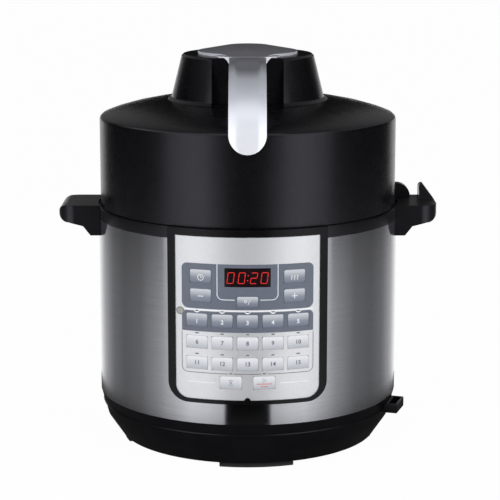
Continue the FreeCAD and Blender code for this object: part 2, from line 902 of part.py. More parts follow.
def plug_room(name):
    """The room that the plug takes up in the rear of the lid."""
    return block(
        name,
        ("-plug_half - fit_gap", "plug_front - fit_gap", "rim_z"),
        ("plug_half + fit_gap", "panel_reach", "plug_top + fit_gap"),
    )


def make_lid():
    shell = turned(
        "lid_shape",
        [
            ("0", "lid_base"),
            ("lid_radius", "lid_base"),
            ("lid_radius", "lid_wall_top"),
            ("shoulder_low_radius", "shoulder_low_z"),
            ("shoulder_radius", "shoulder_z"),
            ("dome_rim_radius", "dome_rim_z"),
            ("dome_radius", "dome_z"),
            ("dome_top_radius", "dome_top_z"),
            ("hub_seat_radius", "hub_seat_z"),
            ("0", "hub_seat_z"),
        ],
    )
    room = post("lid_room", "lid_radius - lid_wall", "lid_base", "lid_roof_z", sides=HIDDEN_SIDES)
    hollow = fused("lid_hollow", [room, plug_room("shell_plug_room")])
    sub_part(cut("lid_shell", shell, hollow))

    hub = turned(
        "hub_shape",
        [
            ("0", "hub_seat_z"),
            ("hub_seat_radius", "hub_seat_z"),
            ("hub_foot_radius", "hub_foot_z"),
            ("hub_brow_radius", "hub_brow_z"),
            ("hub_top_radius", "hub_top_z"),
            ("0", "hub_top_z"),
        ],
    )
    notch = block(
        "hub_notch",
        ("-notch_half", "-panel_reach", "hub_seat_z"),
        ("notch_half", "-notch_back", "hub_top_z"),
    )
    sub_part(cut("lid_hub", hub, notch))


def make_guard():
    """The guard plate that closes the lid's underside, slotted below the heater and the fan."""
    low, high = "guard_z", "guard_z + guard_thick"
    disc = post("guard_disc", "lid_radius - lid_wall", low, high, sides=HIDDEN_SIDES)
    plate = cut("guard_plate", disc, plug_room("guard_plug_room"))
    slots = []
    for step in range(GUARD_SLOTS):
        inner = "guard_hub" if step % 2 == 0 else "guard_hub + guard_step"
        angle = 360 / GUARD_SLOTS * step
        slots.append(spoke(f"guard_slot_{step}", inner, "guard_rim", "guard_slot / 2", low, high, angle))
    sub_part(cut("guard_grille", plate, grouped("guard_slots", slots)))


def make_coil():
    """The heater: two turns of a many-sided spiral, mitred at its corners, on three clips."""
    height, wire = size_of("coil_z"), size_of("coil_wire")
    outer, pitch = size_of("coil_radius"), size_of("coil_pitch")
    corners = []
    for step in range(2 * COIL_SIDES + 1):
        turns = step / COIL_SIDES
        reach = outer - pitch * turns
        angle = 2 * math.pi * turns
        corners.append(FreeCAD.Vector(reach * math.cos(angle), reach * math.sin(angle), height))
    across = (corners[1] - corners[0]).cross(UP).normalize() * wire
    rise = UP * wire
    section = Part.makePolygon([corners[0] + side for side in (across, rise, -across, -rise, across)])
    coil = doc.addObject("Part::Feature", "heating_coil")
    coil.Shape = Part.makePolygon(corners).makePipeShell([section], True, False, 1)
    sub_part(coil)
    low, high = "coil_z + coil_wire", "coil_z + coil_wire + clip_thick"
    clips = []
    for angle in (60, 180, 300):
        inner, outer = "clip_circle - clip_reach", "clip_circle"
        arm = spoke(f"clip_arm_{angle}", inner, outer, "clip_half", low, high, angle)
        width = (f"{outer} - clip_thick", outer, "clip_half")
        strut = spoke(f"clip_post_{angle}", *width, low, "lid_roof_z", angle)
        clips.append(fused(f"coil_clip_{angle}", [arm, strut]))
    sub_part(grouped("coil_clips", clips))


def make_fan():
    top = "fan_z + fan_height"
    motor = post("motor_can", "motor_radius", "motor_z", "lid_roof_z", sides=12)
    sub_part(cut("fan_motor", motor, rod("motor_bore", "shaft_radius + shaft_gap", "motor_z", "lid_roof_z")))
    shaft = rod("fan_shaft", "shaft_radius", "fan_z", "shaft_top")
    disc = post("fan_disc", "fan_radius", f"{top} - fan_plate", top, sides=FAN_SIDES)
    boss = post("fan_hub", "fan_boss", "fan_z", top)
    blades = []
    reach = ("blade_inner", "fan_radius - overcut")
    for angle in range(0, 360, 60):
        blades.append(spoke(f"fan_blade_{angle}", *reach, "blade_thick / 2", "fan_z", top, angle))
    sub_part(fused("fan_impeller", [disc, boss, shaft] + blades))


def make_lid_handle():
    """The silver handle: a domed round plate on the hub and a tongue that curves down over the front."""
    plate = turned(
        "handle_plate",
        [
            ("0", "hub_top_z"),
            ("wing_radius", "hub_top_z"),
            ("wing_radius", "wing_edge_z"),
            ("crown_radius", "crown_z"),
            ("0", "crown_z"),
        ],
    )
    neck = padded(
        "handle_neck",
        "XY_Plane",
        [
            ("-neck_half", "-neck_root", "-neck_curve"),
            ("-tongue_half", "-neck_side"),
            ("-tongue_half", "-neck_front", "-neck_arch"),
            ("tongue_half", "-neck_front"),
            ("tongue_half", "-neck_side", "-neck_curve"),
            ("neck_half", "-neck_root"),
        ],
        "hub_top_z",
        "tongue_top_z - hub_top_z",
    )
    # The neck thickens downwards where it has left the hub's top for the notch.
    root = "notch_back + seat_gap"
    throat = padded(
        "handle_throat",
        "XY_Plane",
        [
            ("-tongue_half", f"-({root})"),
            ("-tongue_half", "-neck_front", "-neck_arch"),
            ("tongue_half", "-neck_front"),
            ("tongue_half", f"-({root})"),
        ],
        "tongue_top_z - tongue_thick",
        "tongue_thick",
    )
    tongue = doc.addObject("PartDesign::Body", "handle_tongue")
    low = "tongue_top_z - tongue_thick"
    section = [
        ("-tongue_half + tongue_edge", low),
        ("tongue_half - tongue_edge", low),
        ("tongue_half", f"{low} + tongue_edge"),
        ("tongue_half", "tongue_top_z - tongue_crown"),
        ("tongue_flat", "tongue_top_z"),
        ("-tongue_flat", "tongue_top_z"),
        ("-tongue_half", "tongue_top_z - tongue_crown"),
        ("-tongue_half", f"{low} + tongue_edge"),
    ]
    # Two arcs lead the tongue from level to upright. The first one's radius makes them meet smoothly.
    run, drop = "(tongue_reach - tongue_start)", "(tongue_top_z - tongue_tip_z)"
    sweep = f"({run} ^ 2 + {drop} ^ 2 - 2 * {run} * tongue_bend) / (2 * ({drop} - tongue_bend))"
    share = f"({sweep}) / ({sweep} - tongue_bend)"
    meet = (
        f"-tongue_start - ({run} - tongue_bend) * {share}",
        f"tongue_top_z - ({sweep}) + ({sweep} - {drop}) * {share}",
        "tongue_bend",
    )
    route = [
        (f"-({root})", "tongue_top_z"),
        ("-tongue_start", "tongue_top_z", sweep),
        meet,
        ("-tongue_reach", "tongue_tip_z"),
    ]
    pipe_section = draw(tongue, "XZ_Plane", section, root)
    pipe_route = draw(tongue, "YZ_Plane", route, closed=False)
    pipe = tongue.newObject("PartDesign::AdditivePipe", "tongue_pipe")
    pipe.Profile = pipe_section
    pipe.Spine = (pipe_route, ["Edge1", "Edge2", "Edge3"])
    tip = padded(
        "handle_tip",
        "XZ_Plane",
        [
            ("-tongue_half", "tongue_tip_z + tongue_half", "tongue_half"),
            ("0", "tongue_tip_z", "tongue_half"),
            ("tongue_half", "tongue_tip_z + tongue_half"),
            ("tongue_half", "crown_z"),
            ("-tongue_half", "crown_z"),
        ],
        "notch_back",
        "panel_reach - notch_back",
    )
    sub_part(fused("lid_handle", [plate, neck, throat, shared("tongue_with_tip", tongue, tip)]))


tray_envelope = make_tray()
make_feet()
make_housing()
make_pot()
make_heater()
make_handles()
make_bracket(tray_envelope)
make_panel()
make_keys()
make_rear_connectors()
make_lid()
make_guard()
make_coil()
make_fan()
make_lid_handle()
doc.recompute()

for item in doc.Objects:
    if "Invalid" in item.State or "Error" in item.State:
        raise RuntimeError(f"{item.Label} failed: {item.State}")
for item in sub_parts:
    if item.Shape.isNull() or not item.Shape.isValid():
        raise RuntimeError(f"{item.Label} has no valid shape")
os.makedirs("parts", exist_ok=True)
for item in sub_parts:
    item.Shape.exportStep(f"parts/{item.Label}.step")
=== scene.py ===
"""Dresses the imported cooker: finishes, handle and tray trim, panel print, digits, key marks and studio.

Sizes on the object are in millimetres, in the part's own frame. The studio and the camera are in metres.
"""
import math
from functools import partial

import bmesh
import bpy
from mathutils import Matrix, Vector


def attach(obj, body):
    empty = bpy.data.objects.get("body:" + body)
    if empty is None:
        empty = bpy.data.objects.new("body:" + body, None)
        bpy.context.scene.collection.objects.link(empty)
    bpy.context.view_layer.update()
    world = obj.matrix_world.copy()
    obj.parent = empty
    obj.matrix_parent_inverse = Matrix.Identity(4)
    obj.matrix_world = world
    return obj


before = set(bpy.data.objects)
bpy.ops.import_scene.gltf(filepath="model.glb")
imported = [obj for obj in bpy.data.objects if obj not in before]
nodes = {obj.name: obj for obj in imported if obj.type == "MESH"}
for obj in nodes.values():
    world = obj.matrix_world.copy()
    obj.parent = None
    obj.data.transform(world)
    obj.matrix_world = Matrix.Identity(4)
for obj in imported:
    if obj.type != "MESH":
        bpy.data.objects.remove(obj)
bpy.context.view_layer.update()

MM = 0.001
SIDES = ((-1, "left"), (1, "right"))

# Panel: radii of its curved front and of the line on which the keys' flat fronts end
FASCIA_RADIUS = 147.4
KEY_RADIUS = 148.2

# Keys: half sizes, and the middle of each front as x and height
KEY_HALF = 9.5
KEY_HALF_HEIGHT = 6
UNIT_HALF_HEIGHT = 4.8
WIDE_KEY_HALF = 10
SIDE_X = 42.5
UPPER_SIDE_Z = 187
LOWER_SIDE_Z = 169.2
UNIT_Z = 164.3
BOTTOM_X = 15.2
BOTTOM_Z = 88.8
COLUMNS = (-46, -23, 0, 23, 46)
ROWS = {"dark": 146.3, "light": 125.6, "lower": 106.2}
KEYS = {
    "key_time": (-SIDE_X, UPPER_SIDE_Z),
    "key_warm": (SIDE_X, UPPER_SIDE_Z),
    "key_minus": (-SIDE_X, LOWER_SIDE_Z),
    "key_plus": (SIDE_X, LOWER_SIDE_Z),
    "key_unit": (0, UNIT_Z),
    "key_delay": (-BOTTOM_X, BOTTOM_Z),
    "key_start": (BOTTOM_X, BOTTOM_Z),
}
DISPLAY_KEYS = ["key_time", "key_warm", "key_minus", "key_plus", "key_unit"]
BOTTOM_KEYS = ["key_delay", "key_start"]
DARK_ROW = [f"key_dark_{place}" for place in range(1, len(COLUMNS) + 1)]
for row, height in ROWS.items():
    for place, x in enumerate(COLUMNS, 1):
        KEYS[f"key_{row}_{place}"] = (x, height)

# Print: how far each layer stands off the panel, from the silver film outwards
PRINT_LIFT = 0.06
FILM_LIFT = PRINT_LIFT
BLOCK_LIFT = 2 * PRINT_LIFT
LINE_LIFT = 3 * PRINT_LIFT
RING_LIFT = 4 * PRINT_LIFT

# Finishes: the range that noise mostly keeps to, and values that several finishes share
NOISE_LOW = 0.3
NOISE_HIGH = 0.7
UNPLACED_STOP = 0.5
BUMP_STRENGTH = 0.5
COOL_SHINE = (0.9, 0.88, 1.0, 1)
PLASTIC_UNEVEN = 0.015
METAL_GLOSSIER = 0.04
METAL_DULLER = 0.06
BRUSH_SCALE = 5000
LEVEL_BRUSH = (0.004, 0.004, 1)
CAST_GRAIN = (0.2, 0.2, 0.2)
THIN_INK = 0.93


class Shader:
    """A material's node tree, with short calls for the nodes that the finishes use."""

    def __init__(self, name):
        self.material = bpy.data.materials.new(name)
        self.material.use_nodes = True
        self.tree = self.material.node_tree
        self.surface = self.tree.nodes["Principled BSDF"]
        self.place = self.tree.nodes.new("ShaderNodeTexCoord")

    def node(self, kind, **settings):
        """Adds a node and sets its properties."""
        made = self.tree.nodes.new(kind)
        for key, value in settings.items():
            setattr(made, key, value)
        return made

    def link(self, source, target):
        self.tree.links.new(source, target)

    def set(self, **values):
        """Sets constants on the surface's own sockets."""
        for key, value in values.items():
            self.surface.inputs[key.replace("_", " ")].default_value = value

    def noise(self, scale, detail=2, stretch=(1, 1, 1)):
        """Noise of about scale grains a metre, drawn out along an axis where stretch is small."""
        mapping = self.node("ShaderNodeMapping")
        mapping.inputs["Scale"].default_value = stretch
        self.link(self.place.outputs["Object"], mapping.inputs["Vector"])
        texture = self.node("ShaderNodeTexNoise")
        texture.inputs["Scale"].default_value = scale
        texture.inputs["Detail"].default_value = detail
        self.link(mapping.outputs["Vector"], texture.inputs["Vector"])
        return texture.outputs["Fac"]

    def parts(self, vector):
        """The X, Y and Z of a vector, by name."""
        split = self.node("ShaderNodeSeparateXYZ")
        self.link(vector, split.inputs["Vector"])
        return split.outputs

    def maths(self, operation, first):
        """A maths node with its first value linked. The caller gives the second where there is one."""
        made = self.node("ShaderNodeMath", operation=operation)
        self.link(first, made.inputs[0])
        return made

    def ramp(self, value, stops):
        """A colour by value, from stops of position and colour."""
        band = self.node("ShaderNodeValToRGB")
        edges = band.color_ramp.elements
        while len(edges) < len(stops):
            edges.new(UNPLACED_STOP)
        for edge, (position, colour) in zip(edges, stops):
            edge.position = position
            edge.color = (*colour, 1)
        self.link(value, band.inputs["Fac"])
        return band.outputs["Color"]

    def tint(self, colour):
        self.link(colour, self.surface.inputs["Base Color"])

    def mottle(self, noise, dark, light):
        """Colours the surface from dark to light by noise, and gives the colour."""
        colour = self.ramp(noise, [(NOISE_LOW, dark), (NOISE_HIGH, light)])
        self.tint(colour)
        return colour

    def rough(self, noise, low, high):
        """Roughness from low to high by noise."""
        span = self.node("ShaderNodeMapRange")
        span.inputs["From Min"].default_value = NOISE_LOW
        span.inputs["From Max"].default_value = NOISE_HIGH
        span.inputs["To Min"].default_value = low
        span.inputs["To Max"].default_value = high
        self.link(noise, span.inputs["Value"])
        self.link(span.outputs["Result"], self.surface.inputs["Roughness"])

    def bump(self, noise, depth, normal=None):
        """Relief by noise, depth in millimetres, on the mesh's normal or on another."""
        relief = self.node("ShaderNodeBump")
        relief.inputs["Distance"].default_value = depth * MM
        relief.inputs["Strength"].default_value = BUMP_STRENGTH
        self.link(noise, relief.inputs["Height"])
        if normal is not None:
            self.link(normal, relief.inputs["Normal"])
        self.link(relief.outputs["Normal"], self.surface.inputs["Normal"])

    def outward(self):
        """The level direction away from the upright axis, which is a drum's exact normal."""
        level = self.node("ShaderNodeVectorMath", operation="MULTIPLY")
        level.inputs[1].default_value = (1, 1, 0)
        self.link(self.place.outputs["Object"], level.inputs[0])
        unit = self.node("ShaderNodeVectorMath", operation="NORMALIZE")
        self.link(level.outputs["Vector"], unit.inputs[0])
        return unit.outputs["Vector"]

    def shine_by(self, shader_output):
        """Gives the material another surface than its Principled one."""
        self.link(shader_output, self.tree.nodes["Material Output"].inputs["Surface"])


def moulded(name, dark, light, roughness, grain=0.012, shine=0.5):
    """Moulded plastic: fine spark texture, faint mottling and slightly uneven gloss."""
    shader = Shader(name)
    shader.set(Specular_IOR_Level=shine, Specular_Tint=COOL_SHINE)
    shader.mottle(shader.noise(scale=35, detail=3), dark, light)
    shader.rough(shader.noise(scale=90, detail=3), roughness - PLASTIC_UNEVEN, roughness + PLASTIC_UNEVEN)
    shader.bump(shader.noise(scale=1600, detail=1), grain)
    return shader.material


def bare_metal(name, dark, light, roughness, stretch, grain):
    """Plain metal with streaks or grain in its colour, gloss and relief."""
    shader = Shader(name)
    shader.set(Metallic=1)
    streaks = shader.noise(BRUSH_SCALE, stretch=stretch)
    shader.mottle(streaks, dark, light)
    shader.rough(streaks, roughness - METAL_GLOSSIER, roughness + METAL_DULLER)
    shader.bump(streaks, grain)
    return shader.material


def drum_steel():
    """The drum's skin: brushed round the upright axis, so that the fine lines run level."""
    shader = Shader("drum_steel")
    shader.set(Metallic=1, Anisotropic=0.95, Anisotropic_Rotation=0.25)
    lines = shader.noise(BRUSH_SCALE, stretch=LEVEL_BRUSH)
    shader.mottle(lines, dark=(0.435, 0.44, 0.47), light=(0.505, 0.51, 0.545))
    shader.rough(shader.noise(scale=9), low=0.15, high=0.18)
    shader.bump(lines, depth=0.004, normal=shader.outward())
    tangent = shader.node("ShaderNodeTangent", direction_type="RADIAL", axis="Z")
    shader.link(tangent.outputs["Tangent"], shader.surface.inputs["Tangent"])
    return shader.material


def printed(name, colour):
    """Flat ink: one colour with faint unevenness and fine tooth."""
    shader = Shader(name)
    thin = tuple(THIN_INK * part for part in colour)
    shader.mottle(shader.noise(scale=220, detail=3), thin, colour)
    shader.rough(shader.noise(scale=500), low=0.37, high=0.47)
    shader.bump(shader.noise(scale=2500, detail=1), depth=0.008)
    return shader.material


def key_film(name, stops):
    """A key's film: shaded from its lower edge to its upper edge."""
    shader = Shader(name)
    height = shader.parts(shader.place.outputs["Generated"])["Z"]
    shader.tint(shader.ramp(height, stops))
    shader.rough(shader.noise(scale=400), low=0.3, high=0.38)
    shader.bump(shader.noise(scale=2200, detail=1), depth=0.01)
    return shader.material


def handle_painted_shade():
    """The lid handle's silver paint with fine flake and painted shade: darker where it faces up, paler where
    it faces forward.
    """
    shader = Shader("handle_painted_shade")
    shader.set(Metallic=0.3)
    facing = shader.node("ShaderNodeNewGeometry").outputs["Normal"]
    # Painted shade: colour by how far the surface faces up, darkest where it faces almost straight up
    stops = [
        (0.3, (0.86, 0.875, 0.94)),
        (0.45, (0.8, 0.82, 0.89)),
        (0.7, (0.6, 0.62, 0.685)),
        (0.85, (0.46, 0.475, 0.53)),
        (0.92, (0.19, 0.193, 0.22)),
        (0.97, (0.25, 0.25, 0.285)),
    ]
    shader.tint(shader.ramp(shader.parts(facing)["Z"], stops))
    shader.rough(shader.noise(scale=200), low=0.3, high=0.36)
    shader.bump(shader.noise(scale=2400, detail=1), depth=0.005)
    return shader.material


def panel_silver():
    """The panel's silver film: fine metallic flake with a satin gloss."""
    shader = Shader("panel_silver")
    shader.set(Metallic=0.45)
    flake = shader.noise(scale=2600, detail=1)
    shader.mottle(flake, dark=(0.6, 0.61, 0.64), light=(0.72, 0.73, 0.76))
    shader.rough(shader.noise(scale=300), low=0.3, high=0.38)
    shader.bump(flake, depth=0.006)
    return shader.material


def lamp_lens():
    """Frosted lamp bars, as pale as the panel round them."""
    shader = Shader("lamp_lens")
    shader.mottle(shader.noise(scale=300), dark=(0.62, 0.63, 0.66), light=(0.7, 0.71, 0.74))
    shader.rough(shader.noise(scale=800), low=0.3, high=0.45)
    shader.bump(shader.noise(scale=3000, detail=1), depth=0.01)
    return shader.material


def lit_digit():
    """Glowing segments of a slightly uneven red."""
    shader = Shader("digit_red")
    shader.set(Emission_Strength=0.25, Roughness=0.4)
    glow = shader.mottle(shader.noise(scale=900), dark=(0.5, 0.012, 0.008), light=(0.62, 0.022, 0.014))
    shader.link(glow, shader.surface.inputs["Emission Color"])
    return shader.material


def smoked_window():
    """Smoked display window: near-black and glossy, with a faint red depth."""
    shader = Shader("window_smoke")
    shader.mottle(shader.noise(scale=60), dark=(0.006, 0.004, 0.005), light=(0.012, 0.006, 0.008))
    shader.rough(shader.noise(scale=200), low=0.12, high=0.18)
    return shader.material


def smoothing():
    """Node group that shades a mesh smooth except over its sharp edges."""
    group = bpy.data.node_groups.new("smooth_by_edge", "GeometryNodeTree")
    group.interface.new_socket("Geometry", in_out="INPUT", socket_type="NodeSocketGeometry")
    group.interface.new_socket("Geometry", in_out="OUTPUT", socket_type="NodeSocketGeometry")
    group.interface.new_socket("Angle", in_out="INPUT", socket_type="NodeSocketFloat")
    start = group.nodes.new("NodeGroupInput")
    end = group.nodes.new("NodeGroupOutput")
    faces = group.nodes.new("GeometryNodeSetShadeSmooth")
    edges = group.nodes.new("GeometryNodeSetShadeSmooth")
    edges.domain = "EDGE"
    edges.inputs["Shade Smooth"].default_value = False
    angle = group.nodes.new("GeometryNodeInputMeshEdgeAngle")
    sharp = group.nodes.new("FunctionNodeCompare")
    group.links.new(angle.outputs["Unsigned Angle"], sharp.inputs["A"])
    group.links.new(start.outputs["Angle"], sharp.inputs["B"])
    group.links.new(start.outputs["Geometry"], faces.inputs["Geometry"])
    group.links.new(faces.outputs["Geometry"], edges.inputs["Geometry"])
    group.links.new(sharp.outputs["Result"], edges.inputs["Selection"])
    group.links.new(edges.outputs["Geometry"], end.inputs["Geometry"])
    return group


# Edges: the gap that is welded, and the angles up to or from which they are dissolved, rounded and sharp
SMOOTHING = smoothing()
WELD_GAP = 0.01
FLAT_ANGLE = math.radians(0.4)
ROUND_ANGLE = math.radians(30)
SHARP_ANGLE = math.radians(35)
ROUND_SEGMENTS = 2


def soften(piece, width):
    """Rounds a solid's edges by width, where there is one, and shades its curves smooth."""
    weld = piece.modifiers.new("weld", "WELD")
    weld.merge_threshold = WELD_GAP * MM
    if width:
        flatten = piece.modifiers.new("flatten", "DECIMATE")
        flatten.decimate_type = "DISSOLVE"
        flatten.angle_limit = FLAT_ANGLE
        bevel = piece.modifiers.new("round", "BEVEL")
        bevel.width = width * MM
        bevel.segments = ROUND_SEGMENTS
        bevel.limit_method = "ANGLE"
        bevel.angle_limit = ROUND_ANGLE
    shade = piece.modifiers.new("shade", "NODES")
    shade.node_group = SMOOTHING
    angle_socket = SMOOTHING.interface.items_tree["Angle"].identifier
    shade[angle_socket] = SHARP_ANGLE
    if width:
        even = piece.modifiers.new("even", "WEIGHTED_NORMAL")
        even.mode = "FACE_AREA"
        even.keep_sharp = True


def coat(piece, material):
    """Gives a piece one material."""
    piece.data.materials.clear()
    piece.data.materials.append(material)


def add_piece(name, body, material, shape):
    """Turns a bmesh into a piece that rides on a body."""
    mesh = bpy.data.meshes.new(name)
    shape.to_mesh(mesh)
    shape.free()
    mesh.materials.append(material)
    piece = bpy.data.objects.new(name, mesh)
    bpy.context.scene.collection.objects.link(piece)
    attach(piece, body)
    return piece


# Lengths that count as nothing: between a ring's points, between faces' corners, and in a strip or line
SAME_POINT = 0.003
SAME_CORNER = 0.002
SLIVER = 0.001


def sheet(name, body, material, faces):
    """A thin printed piece that faces forward, from faces that are lists of points in metres."""
    shape = bmesh.new()
    for corners in faces:
        shape.faces.new([shape.verts.new(corner) for corner in corners])
    bmesh.ops.remove_doubles(shape, verts=shape.verts, dist=SAME_CORNER * MM)
    bmesh.ops.recalc_face_normals(shape, faces=shape.faces)
    if sum(face.normal.y * face.calc_area() for face in shape.faces) > 0:
        bmesh.ops.reverse_faces(shape, faces=shape.faces)
    piece = add_piece(name, body, material, shape)
    piece.data.shade_smooth()


def skinned(shape, loops, endless):
    """Adds a skin to a bmesh: equal loops of points, joined in order. Its ends meet or are capped."""
    rings = [[shape.verts.new(Vector(point) * MM) for point in loop] for loop in loops]
    count = len(rings[0])
    following_rings = rings[1:] + rings[:1] if endless else rings[1:]
    for ring, following in zip(rings, following_rings):
        for corner in range(count):
            after = (corner + 1) % count
            shape.faces.new((ring[corner], ring[after], following[after], following[corner]))
    if not endless:
        shape.faces.new(rings[0][::-1])
        shape.faces.new(rings[-1])


def moulding(name, body, material, skins, endless=False):
    """A small solid trim piece made of closed skins."""
    shape = bmesh.new()
    for loops in skins:
        skinned(shape, loops, endless)
    bmesh.ops.recalc_face_normals(shape, faces=shape.faces)
    soften(add_piece(name, body, material, shape), 0)


def on_fascia(x, z, lift=BLOCK_LIFT):
    """Point on the panel's curved front, in metres."""
    reach = FASCIA_RADIUS + lift
    return Vector((x, -math.sqrt(reach * reach - x * x), z)) * MM


def key_half(name):
    """Half the width of a key's front."""
    return WIDE_KEY_HALF if name in BOTTOM_KEYS else KEY_HALF


def on_key(name):
    """Gives the function that turns millimetres from a key's middle into a point on its flat front."""
    middle, height = KEYS[name]
    half = key_half(name)
    left_y = -math.sqrt(KEY_RADIUS ** 2 - (middle - half) ** 2)
    right_y = -math.sqrt(KEY_RADIUS ** 2 - (middle + half) ** 2)

    def spot(x, z):
        share = (x + half) / (2 * half)
        y = left_y + (right_y - left_y) * share - PRINT_LIFT
        return Vector((middle + x, y, height + z)) * MM

    return spot


def key_hole(name):
    """The opening that the print leaves round a key: left, right, low and high."""
    x, z = KEYS[name]
    across = key_half(name) + PRINT_LIFT
    up = (UNIT_HALF_HEIGHT if name == "key_unit" else KEY_HALF_HEIGHT) + PRINT_LIFT
    return x - across, x + across, z - up, z + up


CORNER_STEPS = 8
STRIP_WIDTH = 2


def strip_cuts(left, right, radii, holes):
    """Where a block is cut into upright strips: evenly, round its corners and at its holes."""
    cuts = {left, right}
    for radius in radii:
        for step in range(CORNER_STEPS + 1):
            inset = radius * (1 - math.cos(math.pi / 2 * step / CORNER_STEPS))
            cuts.update((left + inset, right - inset))
    for hole in holes:
        cuts.update(hole[:2])
    count = int((right - left) / STRIP_WIDTH)
    cuts.update(left + (right - left) * step / count for step in range(count))
    return sorted(cuts)


def distinct(points):
    """A closed ring's points without those that repeat the one before."""
    kept = []
    for point in points:
        if not kept or (point - kept[-1]).length > SAME_POINT * MM:
            kept.append(point)
    if (kept[0] - kept[-1]).length < SAME_POINT * MM:
        kept.pop()
    return kept


def block_faces(box, radii, holes, lift=BLOCK_LIFT):
    """Faces of a rectangle on the panel with rounded lower and upper corners and rectangular holes."""
    left, right, low, high = box
    lower_radius, upper_radius = radii

    def inset(x, radius):
        near = min(x - left, right - x)
        if near >= radius:
            return 0
        return radius - math.sqrt(max(0, radius ** 2 - (radius - near) ** 2))

    faces = []
    cuts = strip_cuts(left, right, radii, holes)
    for start, stop in zip(cuts, cuts[1:]):
        if stop - start < SLIVER:
            continue
        middle = (start + stop) / 2
        gaps = sorted(hole[2:] for hole in holes if hole[0] < middle < hole[1])
        bottoms = [None] + [gap_high for gap_low, gap_high in gaps]
        tops = [gap_low for gap_low, gap_high in gaps] + [None]
        for bottom, top in zip(bottoms, tops):
            ring = []
            for x in (start, stop):
                ring.append((x, low + inset(x, lower_radius) if bottom is None else bottom))
            for x in (stop, start):
                ring.append((x, high - inset(x, upper_radius) if top is None else top))
            corners = distinct([on_fascia(x, z, lift) for x, z in ring])
            if len(corners) > 2:
                faces.append(corners)
    return faces


LINE_STEP = 2


def line_faces(points, width, spot):
    """Faces of a printed line along points on the panel or on a key, mitred at its corners."""
    path = [points[0]]
    for (x0, z0), (x1, z1) in zip(points, points[1:]):
        count = max(1, int(math.hypot(x1 - x0, z1 - z0) / LINE_STEP))
        for step in range(1, count + 1):
            path.append((x0 + (x1 - x0) * step / count, z0 + (z1 - z0) * step / count))
    closed = math.dist(path[0], path[-1]) < SLIVER
    befores = [path[-2] if closed else path[0]] + path[:-1]
    afters = path[1:] + [path[1] if closed else path[-1]]
    sides = []
    for (x, z), before, after in zip(path, befores, afters):
        along_x = after[0] - before[0]
        along_z = after[1] - before[1]
        reach = width / 2 / math.hypot(along_x, along_z)
        left = spot(x - along_z * reach, z + along_x * reach)
        right = spot(x + along_z * reach, z - along_x * reach)
        sides.append((left, right))
    return [[near[0], far[0], far[1], near[1]] for near, far in zip(sides, sides[1:])]


def arc(x, z, radius, start, stop, steps=8):
    """Points of an arc about x and z, between two angles in degrees."""
    turns = [math.radians(start + (stop - start) * step / steps) for step in range(steps + 1)]
    return [(x + radius * math.cos(turn), z + radius * math.sin(turn)) for turn in turns]


def oblong(x, z, half, half_height):
    """The corners of a rectangle about x and z."""
    left, right = x - half, x + half
    low, high = z - half_height, z + half_height
    return [(left, low), (right, low), (right, high), (left, high)]


# Finishes
BLACK = moulded("satin_black", (0.003, 0.003, 0.0036), (0.005, 0.005, 0.006), roughness=0.31)
LID_BLACK = moulded("lid_black", (0.0022, 0.0022, 0.0028), (0.0036, 0.0036, 0.0044), roughness=0.28)
TRIM_BLACK = moulded(
    "trim_black", (0.003, 0.003, 0.003), (0.005, 0.005, 0.005), roughness=0.2, grain=0.01, shine=0.2)
RUBBER = moulded("foot_rubber", (0.012, 0.012, 0.012), (0.02, 0.02, 0.02), roughness=0.65, grain=0.06)
SWITCHES = moulded("switch_black", (0.03, 0.03, 0.03), (0.045, 0.045, 0.045), roughness=0.4)
BOARD = moulded("board_green", (0.03, 0.13, 0.05), (0.05, 0.19, 0.08), roughness=0.35)
MOTOR = moulded("motor_zinc", (0.3, 0.3, 0.31), (0.38, 0.38, 0.39), roughness=0.4)
STEEL = drum_steel()
POT = bare_metal(
    "pot_steel", (0.56, 0.56, 0.57), (0.61, 0.61, 0.62), roughness=0.26, stretch=LEVEL_BRUSH, grain=0.003)
CAST = bare_metal(
    "cast_aluminium", (0.56, 0.57, 0.58), (0.7, 0.7, 0.71), roughness=0.42, stretch=CAST_GRAIN, grain=0.04)
# The handle, its webs and its saddle carry painted shade: darker where they face up, paler facing forward
HANDLE_PAINTED_SHADE = handle_painted_shade()
SILVER = panel_silver()
LENS = lamp_lens()
WINDOW = smoked_window()
RED = lit_digit()
SLATE = printed("ink_slate", (0.115, 0.13, 0.17))
WHITE_INK = printed("ink_white", (0.8, 0.81, 0.84))
GREY_INK = printed("ink_grey", (0.1, 0.105, 0.12))
STONE_INK = printed("ink_stone", (0.33, 0.32, 0.3))
PALE_INK = printed("ink_pale", (0.85, 0.86, 0.9))
RED_INK = printed("ink_red", (0.62, 0.07, 0.06))
DARK_KEY = key_film("key_slate", [
    (0.0, (0.13, 0.15, 0.2)),
    (0.4, (0.2, 0.22, 0.27)),
    (0.95, (0.52, 0.54, 0.58)),
])
PALE_KEY = key_film("key_pale", [
    (0.0, (0.37, 0.39, 0.43)),
    (0.35, (0.5, 0.52, 0.56)),
    (0.9, (0.68, 0.695, 0.73)),
])
KEY_ROUND = 0.4

